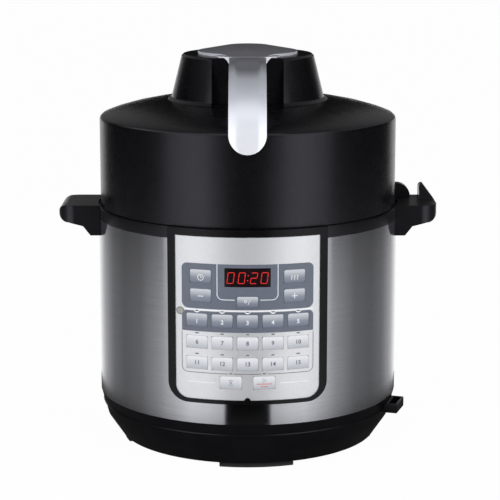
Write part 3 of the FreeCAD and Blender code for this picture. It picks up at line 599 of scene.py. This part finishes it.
# Each node's finish, and how far its edges are rounded
finishes = {
    "base_tray": (BLACK, 1.0),
    "upper_collar": (BLACK, 1.0),
    "left_handle": (BLACK, 5.0),
    "right_handle": (BLACK, 2.0),
    "accessory_bracket": (BLACK, 0.8),
    "panel_bezel": (TRIM_BLACK, 0.8),
    "lid_shell": (LID_BLACK, 1.2),
    "lid_hub": (LID_BLACK, 1.6),
    "lid_plug": (BLACK, 0.8),
    "lid_socket": (BLACK, 0.8),
    "mains_inlet": (BLACK, 0.6),
    "rubber_feet": (RUBBER, 0.8),
    "body_shell": (STEEL, 0),
    "pot_well": (POT, 0),
    "inner_pot": (POT, 0.4),
    "guard_grille": (POT, 0),
    "heating_coil": (POT, 0),
    "coil_clips": (POT, 0),
    "base_screws": (POT, 0),
    "sensor_spring": (POT, 0),
    "heating_plate": (CAST, 0.6),
    "sensor_cap": (CAST, 0.4),
    "fan_impeller": (CAST, 0),
    "fan_motor": (MOTOR, 0.6),
    "panel_fascia": (SILVER, 0),
    "lid_handle": (HANDLE_PAINTED_SHADE, 0.9),
    "indicator_lenses": (LENS, 0),
    "display_window": (WINDOW, 0),
    "display_module": (SWITCHES, 0),
    "tact_switches": (SWITCHES, 0),
    "control_board": (BOARD, 0),
    "power_board": (BOARD, 0.3),
}
for name in KEYS:
    on_slate = name in DISPLAY_KEYS or name in DARK_ROW
    finishes[name] = (DARK_KEY if on_slate else PALE_KEY, KEY_ROUND)
for name, (material, width) in finishes.items():
    coat(nodes[name], material)
    soften(nodes[name], width)

# Handle root: webs that round the corners between the plate and the tongue
HUB_TOP = 375
TONGUE_TOP = 376.5
TONGUE_HALF = 17.1
TONGUE_FLAT = 8
TONGUE_CROWN = 3.5
NOTCH_BACK = -53.4
WEB_LIFT = 0.1
WEB_TOP = TONGUE_TOP + WEB_LIFT
WEB_FRONT = -59.5
WEB_CURVE = 9.5
WEB_EDGE = TONGUE_HALF + WEB_CURVE
WEB_LOW = 370.5
WEB_SEAT = 0.6
WEB_TURNS = range(0, 86, 5)
FLANGE_REACH = 31
FLANGE_FRONT = -36
FLANGE_BACK = -30
RAMP_BACK = -58.5
RAMP_FRONT = -75
RAMP_SAG = 0.83
RAMP_STEPS = 4


def upright(x, front, back, low, high):
    """An upright rectangle along the handle at one x, as a loop of points."""
    return [(x, front, low), (x, back, low), (x, back, high), (x, front, high)]


def web_skin(side):
    """The web in the hub's notch, with a round underside that starts inside the tongue."""
    loops = [upright(side * (TONGUE_HALF - WEB_SEAT), WEB_FRONT, NOTCH_BACK, WEB_LOW, WEB_TOP)]
    for turn in WEB_TURNS:
        across = math.cos(math.radians(turn))
        rise = math.sin(math.radians(turn))
        front = NOTCH_BACK + (WEB_FRONT - NOTCH_BACK) * across
        low = max(WEB_LOW, TONGUE_TOP - WEB_CURVE + WEB_CURVE * rise)
        loops.append(upright(side * (WEB_EDGE - WEB_CURVE * across), front, NOTCH_BACK, low, WEB_TOP))
    return loops


def flange_skin(side):
    """The flat piece on the hub's top that leads the web back under the plate's rim."""
    outline = ((TONGUE_HALF - WEB_SEAT, NOTCH_BACK), (WEB_EDGE, NOTCH_BACK), (FLANGE_REACH, FLANGE_FRONT))
    return [upright(side * x, front, FLANGE_BACK, HUB_TOP + WEB_LIFT, WEB_TOP) for x, front in outline]


def ramp_skin(side):
    """The slope from the web's top down onto the tongue's crowned side, as a row of triangles."""
    loops = []
    for step in range(RAMP_STEPS + 1):
        share = step / RAMP_STEPS
        x = side * (TONGUE_FLAT + (TONGUE_HALF - TONGUE_FLAT) * share)
        low = TONGUE_TOP - TONGUE_CROWN * share
        head = (x, RAMP_BACK, WEB_TOP)
        toe = (x, RAMP_FRONT, low - RAMP_SAG)
        heel = (x, RAMP_BACK, low - WEB_SEAT)
        loops.append([head, toe, heel])
    return loops


for side, name in SIDES:
    skins = [web_skin(side), flange_skin(side), ramp_skin(side)]
    moulding(f"handle_web_{name}", "lid", HANDLE_PAINTED_SHADE, skins)

# Saddle that leads the plate's slope over its rim and onto the tongue
PLATE_TOP = 382.6
PLATE_FLAT = 20
PLATE_SLOPE = 0.1804
SADDLE_BEND = 48.3
SADDLE_END = 58.5
SADDLE_BACK = -40
SADDLE_FRONT = -59
SADDLE_FLARE = 9
SADDLE_LIFT = 0.05
SADDLE_LOW = 375.6
SADDLE_STEPS = 16
SADDLE_HALF_STEPS = 8


def saddle_height(x, y):
    """The plate's slope carried on outward, levelling out between the two radii."""
    reach = math.hypot(x, y)
    bend = SADDLE_END - SADDLE_BEND
    level = min(max(reach - SADDLE_BEND, 0), bend)
    run = min(reach, SADDLE_BEND) - PLATE_FLAT + level - level ** 2 / (2 * bend)
    return PLATE_TOP - PLATE_SLOPE * run + SADDLE_LIFT


def saddle_loop(y):
    """The saddle's section across the handle: as wide as the tongue in front, flared towards the plate."""
    share = (y - SADDLE_FRONT) / (SADDLE_BACK - SADDLE_FRONT)
    half = TONGUE_HALF + SADDLE_FLARE * share ** 2
    loop = []
    for step in range(SADDLE_HALF_STEPS, -SADDLE_HALF_STEPS - 1, -1):
        x = half * step / SADDLE_HALF_STEPS
        loop.append((x, y, saddle_height(x, y)))
    return loop + [(-half, y, SADDLE_LOW), (half, y, SADDLE_LOW)]


saddle = []
for step in range(SADDLE_STEPS + 1):
    saddle.append(saddle_loop(SADDLE_BACK + (SADDLE_FRONT - SADDLE_BACK) * step / SADDLE_STEPS))
moulding("handle_saddle", "lid", HANDLE_PAINTED_SHADE, [saddle])

# Moulded bead round the tray, under its lip
BEAD_HEIGHT = 37
BEAD_RADIUS = 142
BEAD_HALF = 1
BEAD_STEPS = 120
BEAD_SIDES = 8


def bead_loop(turn):
    """The bead's round section at one turn about the upright axis."""
    loop = []
    for step in range(BEAD_SIDES):
        lean = 2 * math.pi * step / BEAD_SIDES
        reach = BEAD_RADIUS + BEAD_HALF * math.cos(lean)
        height = BEAD_HEIGHT + BEAD_HALF * math.sin(lean)
        loop.append((reach * math.sin(turn), -reach * math.cos(turn), height))
    return loop


bead = [bead_loop(2 * math.pi * step / BEAD_STEPS) for step in range(BEAD_STEPS)]
moulding("tray_bead", "base", BLACK, [bead], endless=True)

# Panel print: boxes are left, right, low and high, and radii are those of lower and upper corners
FILM_BOX = (-65.5, 65.5, 72.4, 223)
FILM_RADII = (11.6, 0.4)
DISPLAY_HOLE = (-20.9, 20.9, 177.9, 195.3)
STOP_HOLE = (-2.9, 2.9, 70, 74.9)
BLOCK_HALF = 59.7
UPPER_BLOCK = (-BLOCK_HALF, BLOCK_HALF, 156.8, 198.7)
UPPER_RADII = (6, 5)
LOWER_BLOCK = (-BLOCK_HALF, BLOCK_HALF, 135.6, 154.7)
LOWER_RADII = (0.4, 4.5)

film_holes = [DISPLAY_HOLE, STOP_HOLE] + [key_hole(name) for name in KEYS]
film = block_faces(FILM_BOX, FILM_RADII, film_holes, FILM_LIFT)
sheet("panel_overlay", "base", SILVER, film)
upper_holes = [DISPLAY_HOLE] + [key_hole(name) for name in DISPLAY_KEYS]
sheet("print_upper_block", "base", SLATE, block_faces(UPPER_BLOCK, UPPER_RADII, upper_holes))
lower_holes = [key_hole(name) for name in DARK_ROW]
sheet("print_lower_block", "base", SLATE, block_faces(LOWER_BLOCK, LOWER_RADII, lower_holes))

# Pale lines round the display, beside the bottom keys and between the two blocks
FRAME_X = 27.5
FRAME_TOP = 198.6
FRAME_LOW = 166
FRAME_TURN = 5
FRAME_END = 11.6
FRAME_WIDTH = 0.6
DASH_START = 29.7
DASH_END = 56
DASH_Z = 88
DASH_WIDTH = 0.7
PARTING_START = -56
PARTING_Z = 155.8
PARTING_WIDTH = 1

above_blocks = partial(on_fascia, lift=LINE_LIFT)
frame_bend = arc(FRAME_X - FRAME_TURN, FRAME_LOW + FRAME_TURN, FRAME_TURN, 0, -90, steps=9)
frame_path = [(FRAME_X, FRAME_TOP)] + frame_bend + [(FRAME_END, FRAME_LOW)]
for side, name in SIDES:
    frame_line = line_faces([(side * x, z) for x, z in frame_path], FRAME_WIDTH, above_blocks)
    sheet(f"print_frame_{name}", "base", PALE_INK, frame_line)
    dash = line_faces([(side * DASH_START, DASH_Z), (side * DASH_END, DASH_Z)], DASH_WIDTH, on_fascia)
    sheet(f"print_dash_{name}", "base", PALE_INK, dash)
parting = line_faces([(PARTING_START, PARTING_Z), (BLOCK_HALF, PARTING_Z)], PARTING_WIDTH, on_fascia)
sheet("print_parting_line", "base", PALE_INK, parting)

# Lamps: pale cups that hang from the parting line, and the grey middle of each lens
CUP_Z = 156.1
CUP_RADIUS = 3
LAMP_RISE = 8.6
LAMP_PROUD = 0.4
LAMP_HALF = 1.5
LAMP_HALF_HEIGHT = 0.5

cups = []
for x in COLUMNS:
    cups.append([above_blocks(u, v) for u, v in arc(x, CUP_Z, CUP_RADIUS, 180, 360, steps=16)])
sheet("print_lamp_cups", "base", PALE_INK, cups)
lamp_marks = []
for name, (x, z) in KEYS.items():
    if name not in DISPLAY_KEYS:
        bar = oblong(x, z + LAMP_RISE, LAMP_HALF, LAMP_HALF_HEIGHT)
        lamp_marks.append([on_fascia(u, v, LAMP_PROUD + BLOCK_LIFT) for u, v in bar])
sheet("lamp_marks", "base", GREY_INK, lamp_marks)

# Grey frame round the pale rows, and the round mark at the parting line's end
PALE_FRAME_TOP = 134.6
PALE_FRAME_LOW = 97
PALE_FRAME_TURN = 5
PALE_FRAME_WIDTH = 0.55
ROUND_MARK = (-61.2, 153.6)
ROUND_MARK_RADIUS = 3.4
ROUND_RING_RADIUS = 3.3
ROUND_RING_WIDTH = 0.6
ROUND_STEPS = 40

turn_x = BLOCK_HALF - PALE_FRAME_TURN
turn_z = PALE_FRAME_LOW + PALE_FRAME_TURN
pale_path = [(-BLOCK_HALF, PALE_FRAME_TOP)]
pale_path += arc(-turn_x, turn_z, PALE_FRAME_TURN, 180, 270)
pale_path += arc(turn_x, turn_z, PALE_FRAME_TURN, 270, 360)
pale_path.append((BLOCK_HALF, PALE_FRAME_TOP))
sheet("print_lower_frame", "base", GREY_INK, line_faces(pale_path, PALE_FRAME_WIDTH, on_fascia))
disc = arc(*ROUND_MARK, ROUND_MARK_RADIUS, 0, 360, ROUND_STEPS)[:-1]
sheet("print_round_disc", "base", STONE_INK, [[above_blocks(x, z) for x, z in disc]])
ring = arc(*ROUND_MARK, ROUND_RING_RADIUS, 0, 360, ROUND_STEPS)
ring_faces = line_faces(ring, ROUND_RING_WIDTH, partial(on_fascia, lift=RING_LIFT))
sheet("print_round_mark", "base", GREY_INK, ring_faces)

# Display digits: seven slanted segments, of which each digit lights some
SEGMENTS = {"0": "abcdef", "2": "abged"}
SHOWN = (("0", -15.2), ("0", -5.2), ("2", 5.8), ("0", 15.3))
DIGIT_WIDE = 6.4
DIGIT_TALL = 10.6
DIGIT_LOW = 181
DIGIT_MIDDLE = DIGIT_TALL / 2
DIGIT_STROKE = 0.75
DIGIT_GAP = 0.12
DIGIT_SLANT = 0.12
COLON_X = 0.35
COLON_HEIGHTS = (184, 188.6)
COLON_HALF = 0.5


def segment_runs():
    """Each segment's two ends, from the digit's lower middle."""
    inner = DIGIT_STROKE / 2
    left = inner - DIGIT_WIDE / 2
    right = DIGIT_WIDE / 2 - inner
    low = inner
    high = DIGIT_TALL - inner
    return {
        "a": ((left, high), (right, high)),
        "b": ((right, DIGIT_MIDDLE), (right, high)),
        "c": ((right, low), (right, DIGIT_MIDDLE)),
        "d": ((left, low), (right, low)),
        "e": ((left, low), (left, DIGIT_MIDDLE)),
        "f": ((left, DIGIT_MIDDLE), (left, high)),
        "g": ((left, DIGIT_MIDDLE), (right, DIGIT_MIDDLE)),
    }


def segment_face(run):
    """A segment's six corners: a bar with pointed ends, a small gap short of its neighbours."""
    (x0, z0), (x1, z1) = run
    inner = DIGIT_STROKE / 2
    length = math.hypot(x1 - x0, z1 - z0)
    along_x = (x1 - x0) / length
    along_z = (z1 - z0) / length
    outline = (
        (DIGIT_GAP, 0),
        (DIGIT_GAP + inner, -inner),
        (length - DIGIT_GAP - inner, -inner),
        (length - DIGIT_GAP, 0),
        (length - DIGIT_GAP - inner, inner),
        (DIGIT_GAP + inner, inner),
    )
    corners = []
    for along, across in outline:
        corners.append((x0 + along_x * along - along_z * across, z0 + along_z * along + along_x * across))
    return corners


digits = []
runs = segment_runs()
for digit, centre in SHOWN:
    for letter in SEGMENTS[digit]:
        face = []
        for x, z in segment_face(runs[letter]):
            face.append(on_fascia(centre + x + DIGIT_SLANT * (z - DIGIT_MIDDLE), DIGIT_LOW + z))
        digits.append(face)
for height in COLON_HEIGHTS:
    lean = DIGIT_SLANT * (height - DIGIT_LOW - DIGIT_MIDDLE)
    dot = oblong(COLON_X + lean, height, COLON_HALF, COLON_HALF)
    digits.append([on_fascia(x, z) for x, z in dot])
sheet("display_digits", "base", RED, digits)

# Key marks: plain numbers on the three rows
NUMBER_SIZE = 5.4
NUMBER_WEIGHT = 0.1
NUMBER_CURVE = 4
# Row, its first number, the ink, and how far the number sits from the key's middle.
NUMBERED = (("dark", 1, WHITE_INK, -1.4), ("light", 6, GREY_INK, 0), ("lower", 11, GREY_INK, 0))


def number_mark(name, text, key, ink, rise):
    """A plain number printed on a key's front."""
    letter = bpy.data.curves.new(name + "_outline", "FONT")
    letter.body = text
    letter.size = NUMBER_SIZE
    letter.offset = NUMBER_WEIGHT
    letter.align_x = "CENTER"
    letter.align_y = "CENTER"
    letter.resolution_u = NUMBER_CURVE
    drawn = bpy.data.objects.new(name + "_outline", letter)
    bpy.context.scene.collection.objects.link(drawn)
    bpy.context.view_layer.update()
    flat = bpy.data.meshes.new_from_object(drawn.evaluated_get(bpy.context.evaluated_depsgraph_get()))
    bpy.data.objects.remove(drawn)
    spot = on_key(key)
    points = [spot(vertex.co.x, rise + vertex.co.y) for vertex in flat.vertices]
    faces = [[points[corner] for corner in face.vertices] for face in flat.polygons]
    bpy.data.meshes.remove(flat)
    sheet(name, key, ink, faces)


for row, first, ink, rise in NUMBERED:
    for place in range(1, len(COLUMNS) + 1):
        number_mark(f"mark_{row}_{place}", str(first + place - 1), f"key_{row}_{place}", ink, rise)

# Key marks: simple signs, drawn in millimetres from the key's middle
BOLD = 0.7
MEDIUM = 0.55
FINE = 0.5
HAIR = 0.45
BAR = 0.6
WAVE_COLUMNS = (-2.6, 0, 2.6)
WAVE_SWING = 0.5
WAVE_RATE = 1.9
WAVE_LOW = -2.2
WAVE_STEP = 0.4
WAVE_POINTS = 12
WAVE_DROP = 1.2


def wave(x):
    """A rising wave of warm air."""
    points = []
    for step in range(WAVE_POINTS):
        z = WAVE_LOW + WAVE_STEP * step
        points.append((x + WAVE_SWING * math.sin(WAVE_RATE * z), z - WAVE_DROP))
    return points


def sign(name, key, ink, width, lines):
    """A sign of printed lines on a key's front."""
    faces = []
    for points in lines:
        faces += line_faces(points, width, on_key(key))
    sheet(name, key, ink, faces)


minus = [(-2.4, -0.6), (2.4, -0.6)]
plus = [[(-2.6, -0.4), (2.6, -0.4)], [(0, 0), (0, 2.2)], [(0, -0.8), (0, -3)]]
clock_face = arc(0, -1.2, 2.6, 0, 360, steps=32)
clock_hands = [(0, 0.4), (0, -1.2), (1.3, -1.2)]
degree = arc(-1.8, 0.6, 1.1, 0, 360, steps=20)
slash = [(0.4, -2.4), (2.4, 2)]
hourglass = [(-1.8, 2.2), (1.8, 2.2), (-1.8, -2.2), (1.8, -2.2), (-1.8, 2.2)]
triangle = [(-1.2, 0.3), (-1.2, 4), (2, 2.15), (-1.2, 0.3)]
bars = [[(-7, -1.1), (7, -1.1)], [(-3, -3.6), (3, -3.6)]]
sign("mark_minus", "key_minus", WHITE_INK, BOLD, [minus])
sign("mark_plus", "key_plus", WHITE_INK, BOLD, plus)
sign("mark_time", "key_time", WHITE_INK, MEDIUM, [clock_face, clock_hands])
sign("mark_warm", "key_warm", WHITE_INK, MEDIUM, [wave(x) for x in WAVE_COLUMNS])
sign("mark_unit", "key_unit", WHITE_INK, FINE, [degree, slash])
sign("mark_delay", "key_delay", GREY_INK, HAIR, [hourglass])
sign("mark_start", "key_start", GREY_INK, FINE, [triangle])
sign("mark_stop", "key_start", RED_INK, BAR, bars)

# Studio: a white world and floor as seen, dimmer as light
WORLD_LIGHT = 0.35
FLOOR_REACH = 12
FLOOR_GREY = 0.85
FLOOR_ROUGH = 0.9
FLOOR_GLOW = 0.98


def seen_directly(tree):
    """One for camera, glossy and transmission rays, and nought for the light that falls on the object."""
    path = tree.nodes.new("ShaderNodeLightPath")
    value = path.outputs["Is Camera Ray"]
    for other in ("Is Glossy Ray", "Is Transmission Ray"):
        either = tree.nodes.new("ShaderNodeMath")
        either.operation = "MAXIMUM"
        tree.links.new(value, either.inputs[0])
        tree.links.new(path.outputs[other], either.inputs[1])
        value = either.outputs[0]
    return value


def mixed(tree, share, first, second):
    """A mix of two shaders."""
    mix = tree.nodes.new("ShaderNodeMixShader")
    tree.links.new(share, mix.inputs["Fac"])
    tree.links.new(first, mix.inputs[1])
    tree.links.new(second, mix.inputs[2])
    return mix.outputs["Shader"]


def studio_world():
    """White where it is seen, and dimmer as light on the object."""
    world = bpy.data.worlds.new("studio")
    world.use_nodes = True
    tree = world.node_tree
    dim = tree.nodes["Background"]
    dim.inputs["Color"].default_value = (1, 1, 1, 1)
    dim.inputs["Strength"].default_value = WORLD_LIGHT
    white = tree.nodes.new("ShaderNodeBackground")
    white.inputs["Color"].default_value = (1, 1, 1, 1)
    both = mixed(tree, seen_directly(tree), dim.outputs["Background"], white.outputs["Background"])
    tree.links.new(both, tree.nodes["World Output"].inputs["Surface"])
    bpy.context.scene.world = world


def stage_object(name, points, faces, material):
    """A studio surface, which isn't part of the object."""
    mesh = bpy.data.meshes.new(name)
    mesh.from_pydata(points, [], faces)
    mesh.materials.append(material)
    surface = bpy.data.objects.new(name, mesh)
    bpy.context.scene.collection.objects.link(surface)
    return surface


def floor_white():
    """Floor paint: nearly white where it is seen, with a trace of the object's shadow."""
    shader = Shader("floor_white")
    shader.set(Base_Color=(FLOOR_GREY, FLOOR_GREY, FLOOR_GREY, 1), Roughness=FLOOR_ROUGH)
    share = shader.maths("MULTIPLY", seen_directly(shader.tree))
    share.inputs[1].default_value = FLOOR_GLOW
    glow = shader.node("ShaderNodeEmission").outputs["Emission"]
    shader.shine_by(mixed(shader.tree, share.outputs[0], shader.surface.outputs["BSDF"], glow))
    return shader.material


studio_world()
floor_corners = [(x, y, 0) for x, y in oblong(0, 0, FLOOR_REACH, FLOOR_REACH)]
floor = stage_object("floor", floor_corners, [(0, 1, 2, 3)], floor_white())
floor.visible_glossy = False

# Softboxes: two in front of the object and one above it
FRONT_BOX = (1.2, -1.6, 0.7)
FRONT_TARGET = (0, 0, 0.2)
FRONT_SIZE = (0.6, 1.2)
FRONT_POWER = 19
TOP_BOX = (0, -0.6, 2.2)
TOP_TARGET = (0, 0, 0)
TOP_SIZE = (1.2, 1.2)
TOP_POWER = 2


def softbox(name, place, target, size, power):
    """A rectangular lamp that lights the object and shows in nothing."""
    lamp = bpy.data.lights.new(name, "AREA")
    lamp.shape = "RECTANGLE"
    lamp.size, lamp.size_y = size
    lamp.energy = power
    holder = bpy.data.objects.new(name, lamp)
    bpy.context.scene.collection.objects.link(holder)
    holder.location = place
    holder.rotation_euler = (Vector(target) - Vector(place)).to_track_quat("-Z", "Y").to_euler()
    holder.visible_camera = False
    holder.visible_glossy = False


front_x, front_y, front_z = FRONT_BOX
for side, name in SIDES:
    softbox(f"softbox_{name}", (side * front_x, front_y, front_z), FRONT_TARGET, FRONT_SIZE, FRONT_POWER)
softbox("softbox_top", TOP_BOX, TOP_TARGET, TOP_SIZE, TOP_POWER)

# Cards that the object mirrors: a surround, dark walls, and panels under and behind
SURROUND_POWER = 1.3
SURROUND_REACH = 6
SURROUND_LOW = -9
SURROUND_TOP = 0.9
# Bearing from the front in degrees, and how bright the surround is there.
SURROUND = (
    (0, 0.0), (16.8, 0.0), (17.2, 1.0), (30, 1.2), (43, 1.3), (57, 0.87), (72, 0.52), (89, 0.26),
    (108, 0.2), (125, 0.27), (143, 0.6), (157, 1.05), (180, 1.3),
)
WALL_REACH = 1.25
WALL_LOW = 0.01
UNDER_INNER = (0.1, 0.002)
UNDER_OUTER = (0.28, 0.002)
BACK_HALF = 0.36
BACK_REACH = 3
BACK_PROFILE = ((1.6, 0.35), (1.2, 3.2), (-1, 3.2))
SECTOR_STEPS = 24


def card_paint(name, shade):
    """A card of one brightness."""
    shader = Shader(name)
    glow = shader.node("ShaderNodeEmission")
    glow.inputs["Color"].default_value = (shade, shade, shade, 1)
    shader.shine_by(glow.outputs["Emission"])
    return shader.material


def surround_paint():
    """Light that the object mirrors, by bearing from the front and the same to the left and the right."""
    shader = Shader("surround_light")
    shader.material.cycles.emission_sampling = "NONE"
    place = shader.parts(shader.place.outputs["Object"])
    sideways = shader.maths("ABSOLUTE", place["X"])
    forward = shader.maths("MULTIPLY", place["Y"])
    forward.inputs[1].default_value = -1
    turn = shader.maths("ARCTAN2", sideways.outputs[0])
    shader.link(forward.outputs[0], turn.inputs[1])
    share = shader.maths("DIVIDE", turn.outputs[0])
    share.inputs[1].default_value = math.pi
    stops = [(bearing / 180, (shade / SURROUND_POWER,) * 3) for bearing, shade in SURROUND]
    glow = shader.node("ShaderNodeEmission")
    glow.inputs["Strength"].default_value = SURROUND_POWER
    shader.link(shader.ramp(share.outputs[0], stops), glow.inputs["Color"])
    shader.shine_by(glow.outputs["Emission"])
    return shader.material


def sector(start, stop, low, high):
    """Points and faces of a card between two bearings in degrees. Each edge is a reach and a height."""
    points = []
    for step in range(SECTOR_STEPS + 1):
        turn = math.radians(start + (stop - start) * step / SECTOR_STEPS)
        for reach, z in (low, high):
            points.append((reach * math.sin(turn), -reach * math.cos(turn), z))
    faces = [(2 * n, 2 * n + 1, 2 * n + 3, 2 * n + 2) for n in range(SECTOR_STEPS)]
    return points, faces


def flag_card(name, shape, material):
    """A card that shows only in glossy surfaces."""
    card = stage_object(name, *shape, material)
    card.visible_camera = False
    card.visible_diffuse = False
    card.visible_shadow = False
    card.visible_transmission = False


BLACK_CARD = card_paint("card_black", 0.01)
DIM_CARD = card_paint("card_dim", 0.3)
GREY_CARD = card_paint("card_grey", 0.2)
UNDER_CARD = card_paint("card_under", 0.04)
# Walls on both sides: bearings from the front at which each starts and stops, its top and its paint.
WALLS = ((0, 17, 1.5, BLACK_CARD), (17, 26, 1.5, DIM_CARD), (62, 138, 0.85, BLACK_CARD))
# Panels behind and above the object, dark in the middle: left edge, right edge and paint.
BACKS = (
    (-BACK_REACH, -BACK_HALF, GREY_CARD),
    (-BACK_HALF, BACK_HALF, BLACK_CARD),
    (BACK_HALF, BACK_REACH, GREY_CARD),
)

surround = sector(0, 360, (SURROUND_REACH, SURROUND_LOW), (SURROUND_REACH, SURROUND_TOP))
flag_card("flag_surround", surround, surround_paint())
for start, stop, top, paint in WALLS:
    for side, name in SIDES:
        wall = sector(side * start, side * stop, (WALL_REACH, WALL_LOW), (WALL_REACH, top))
        flag_card(f"flag_wall_{name}_{start}", wall, paint)
flag_card("flag_under", sector(0, 360, UNDER_INNER, UNDER_OUTER), UNDER_CARD)
for left, right, paint in BACKS:
    points = [(x, y, z) for y, z in BACK_PROFILE for x in (left, right)]
    flag_card(f"flag_back_{left}", (points, [(0, 1, 3, 2), (2, 3, 5, 4)]), paint)

# Camera: at the photograph's place and angle, level from side to side
SENSOR_WIDTH = 36
FOCAL_LENGTH = 127.4
VIEW_DEPTH = 50
CAMERA_PLACE = (0.0022, -1.7, 0.5269)
CAMERA_DIP = 0.2

lens = bpy.data.cameras.new("camera")
lens.sensor_width = SENSOR_WIDTH
lens.lens = FOCAL_LENGTH
lens.clip_end = VIEW_DEPTH
camera = bpy.data.objects.new("camera", lens)
bpy.context.scene.collection.objects.link(camera)
camera.location = CAMERA_PLACE
camera.rotation_euler = (math.pi / 2 - CAMERA_DIP, 0, 0)
bpy.context.scene.camera = camera
bpy.context.scene.view_settings.view_transform = "Standard"
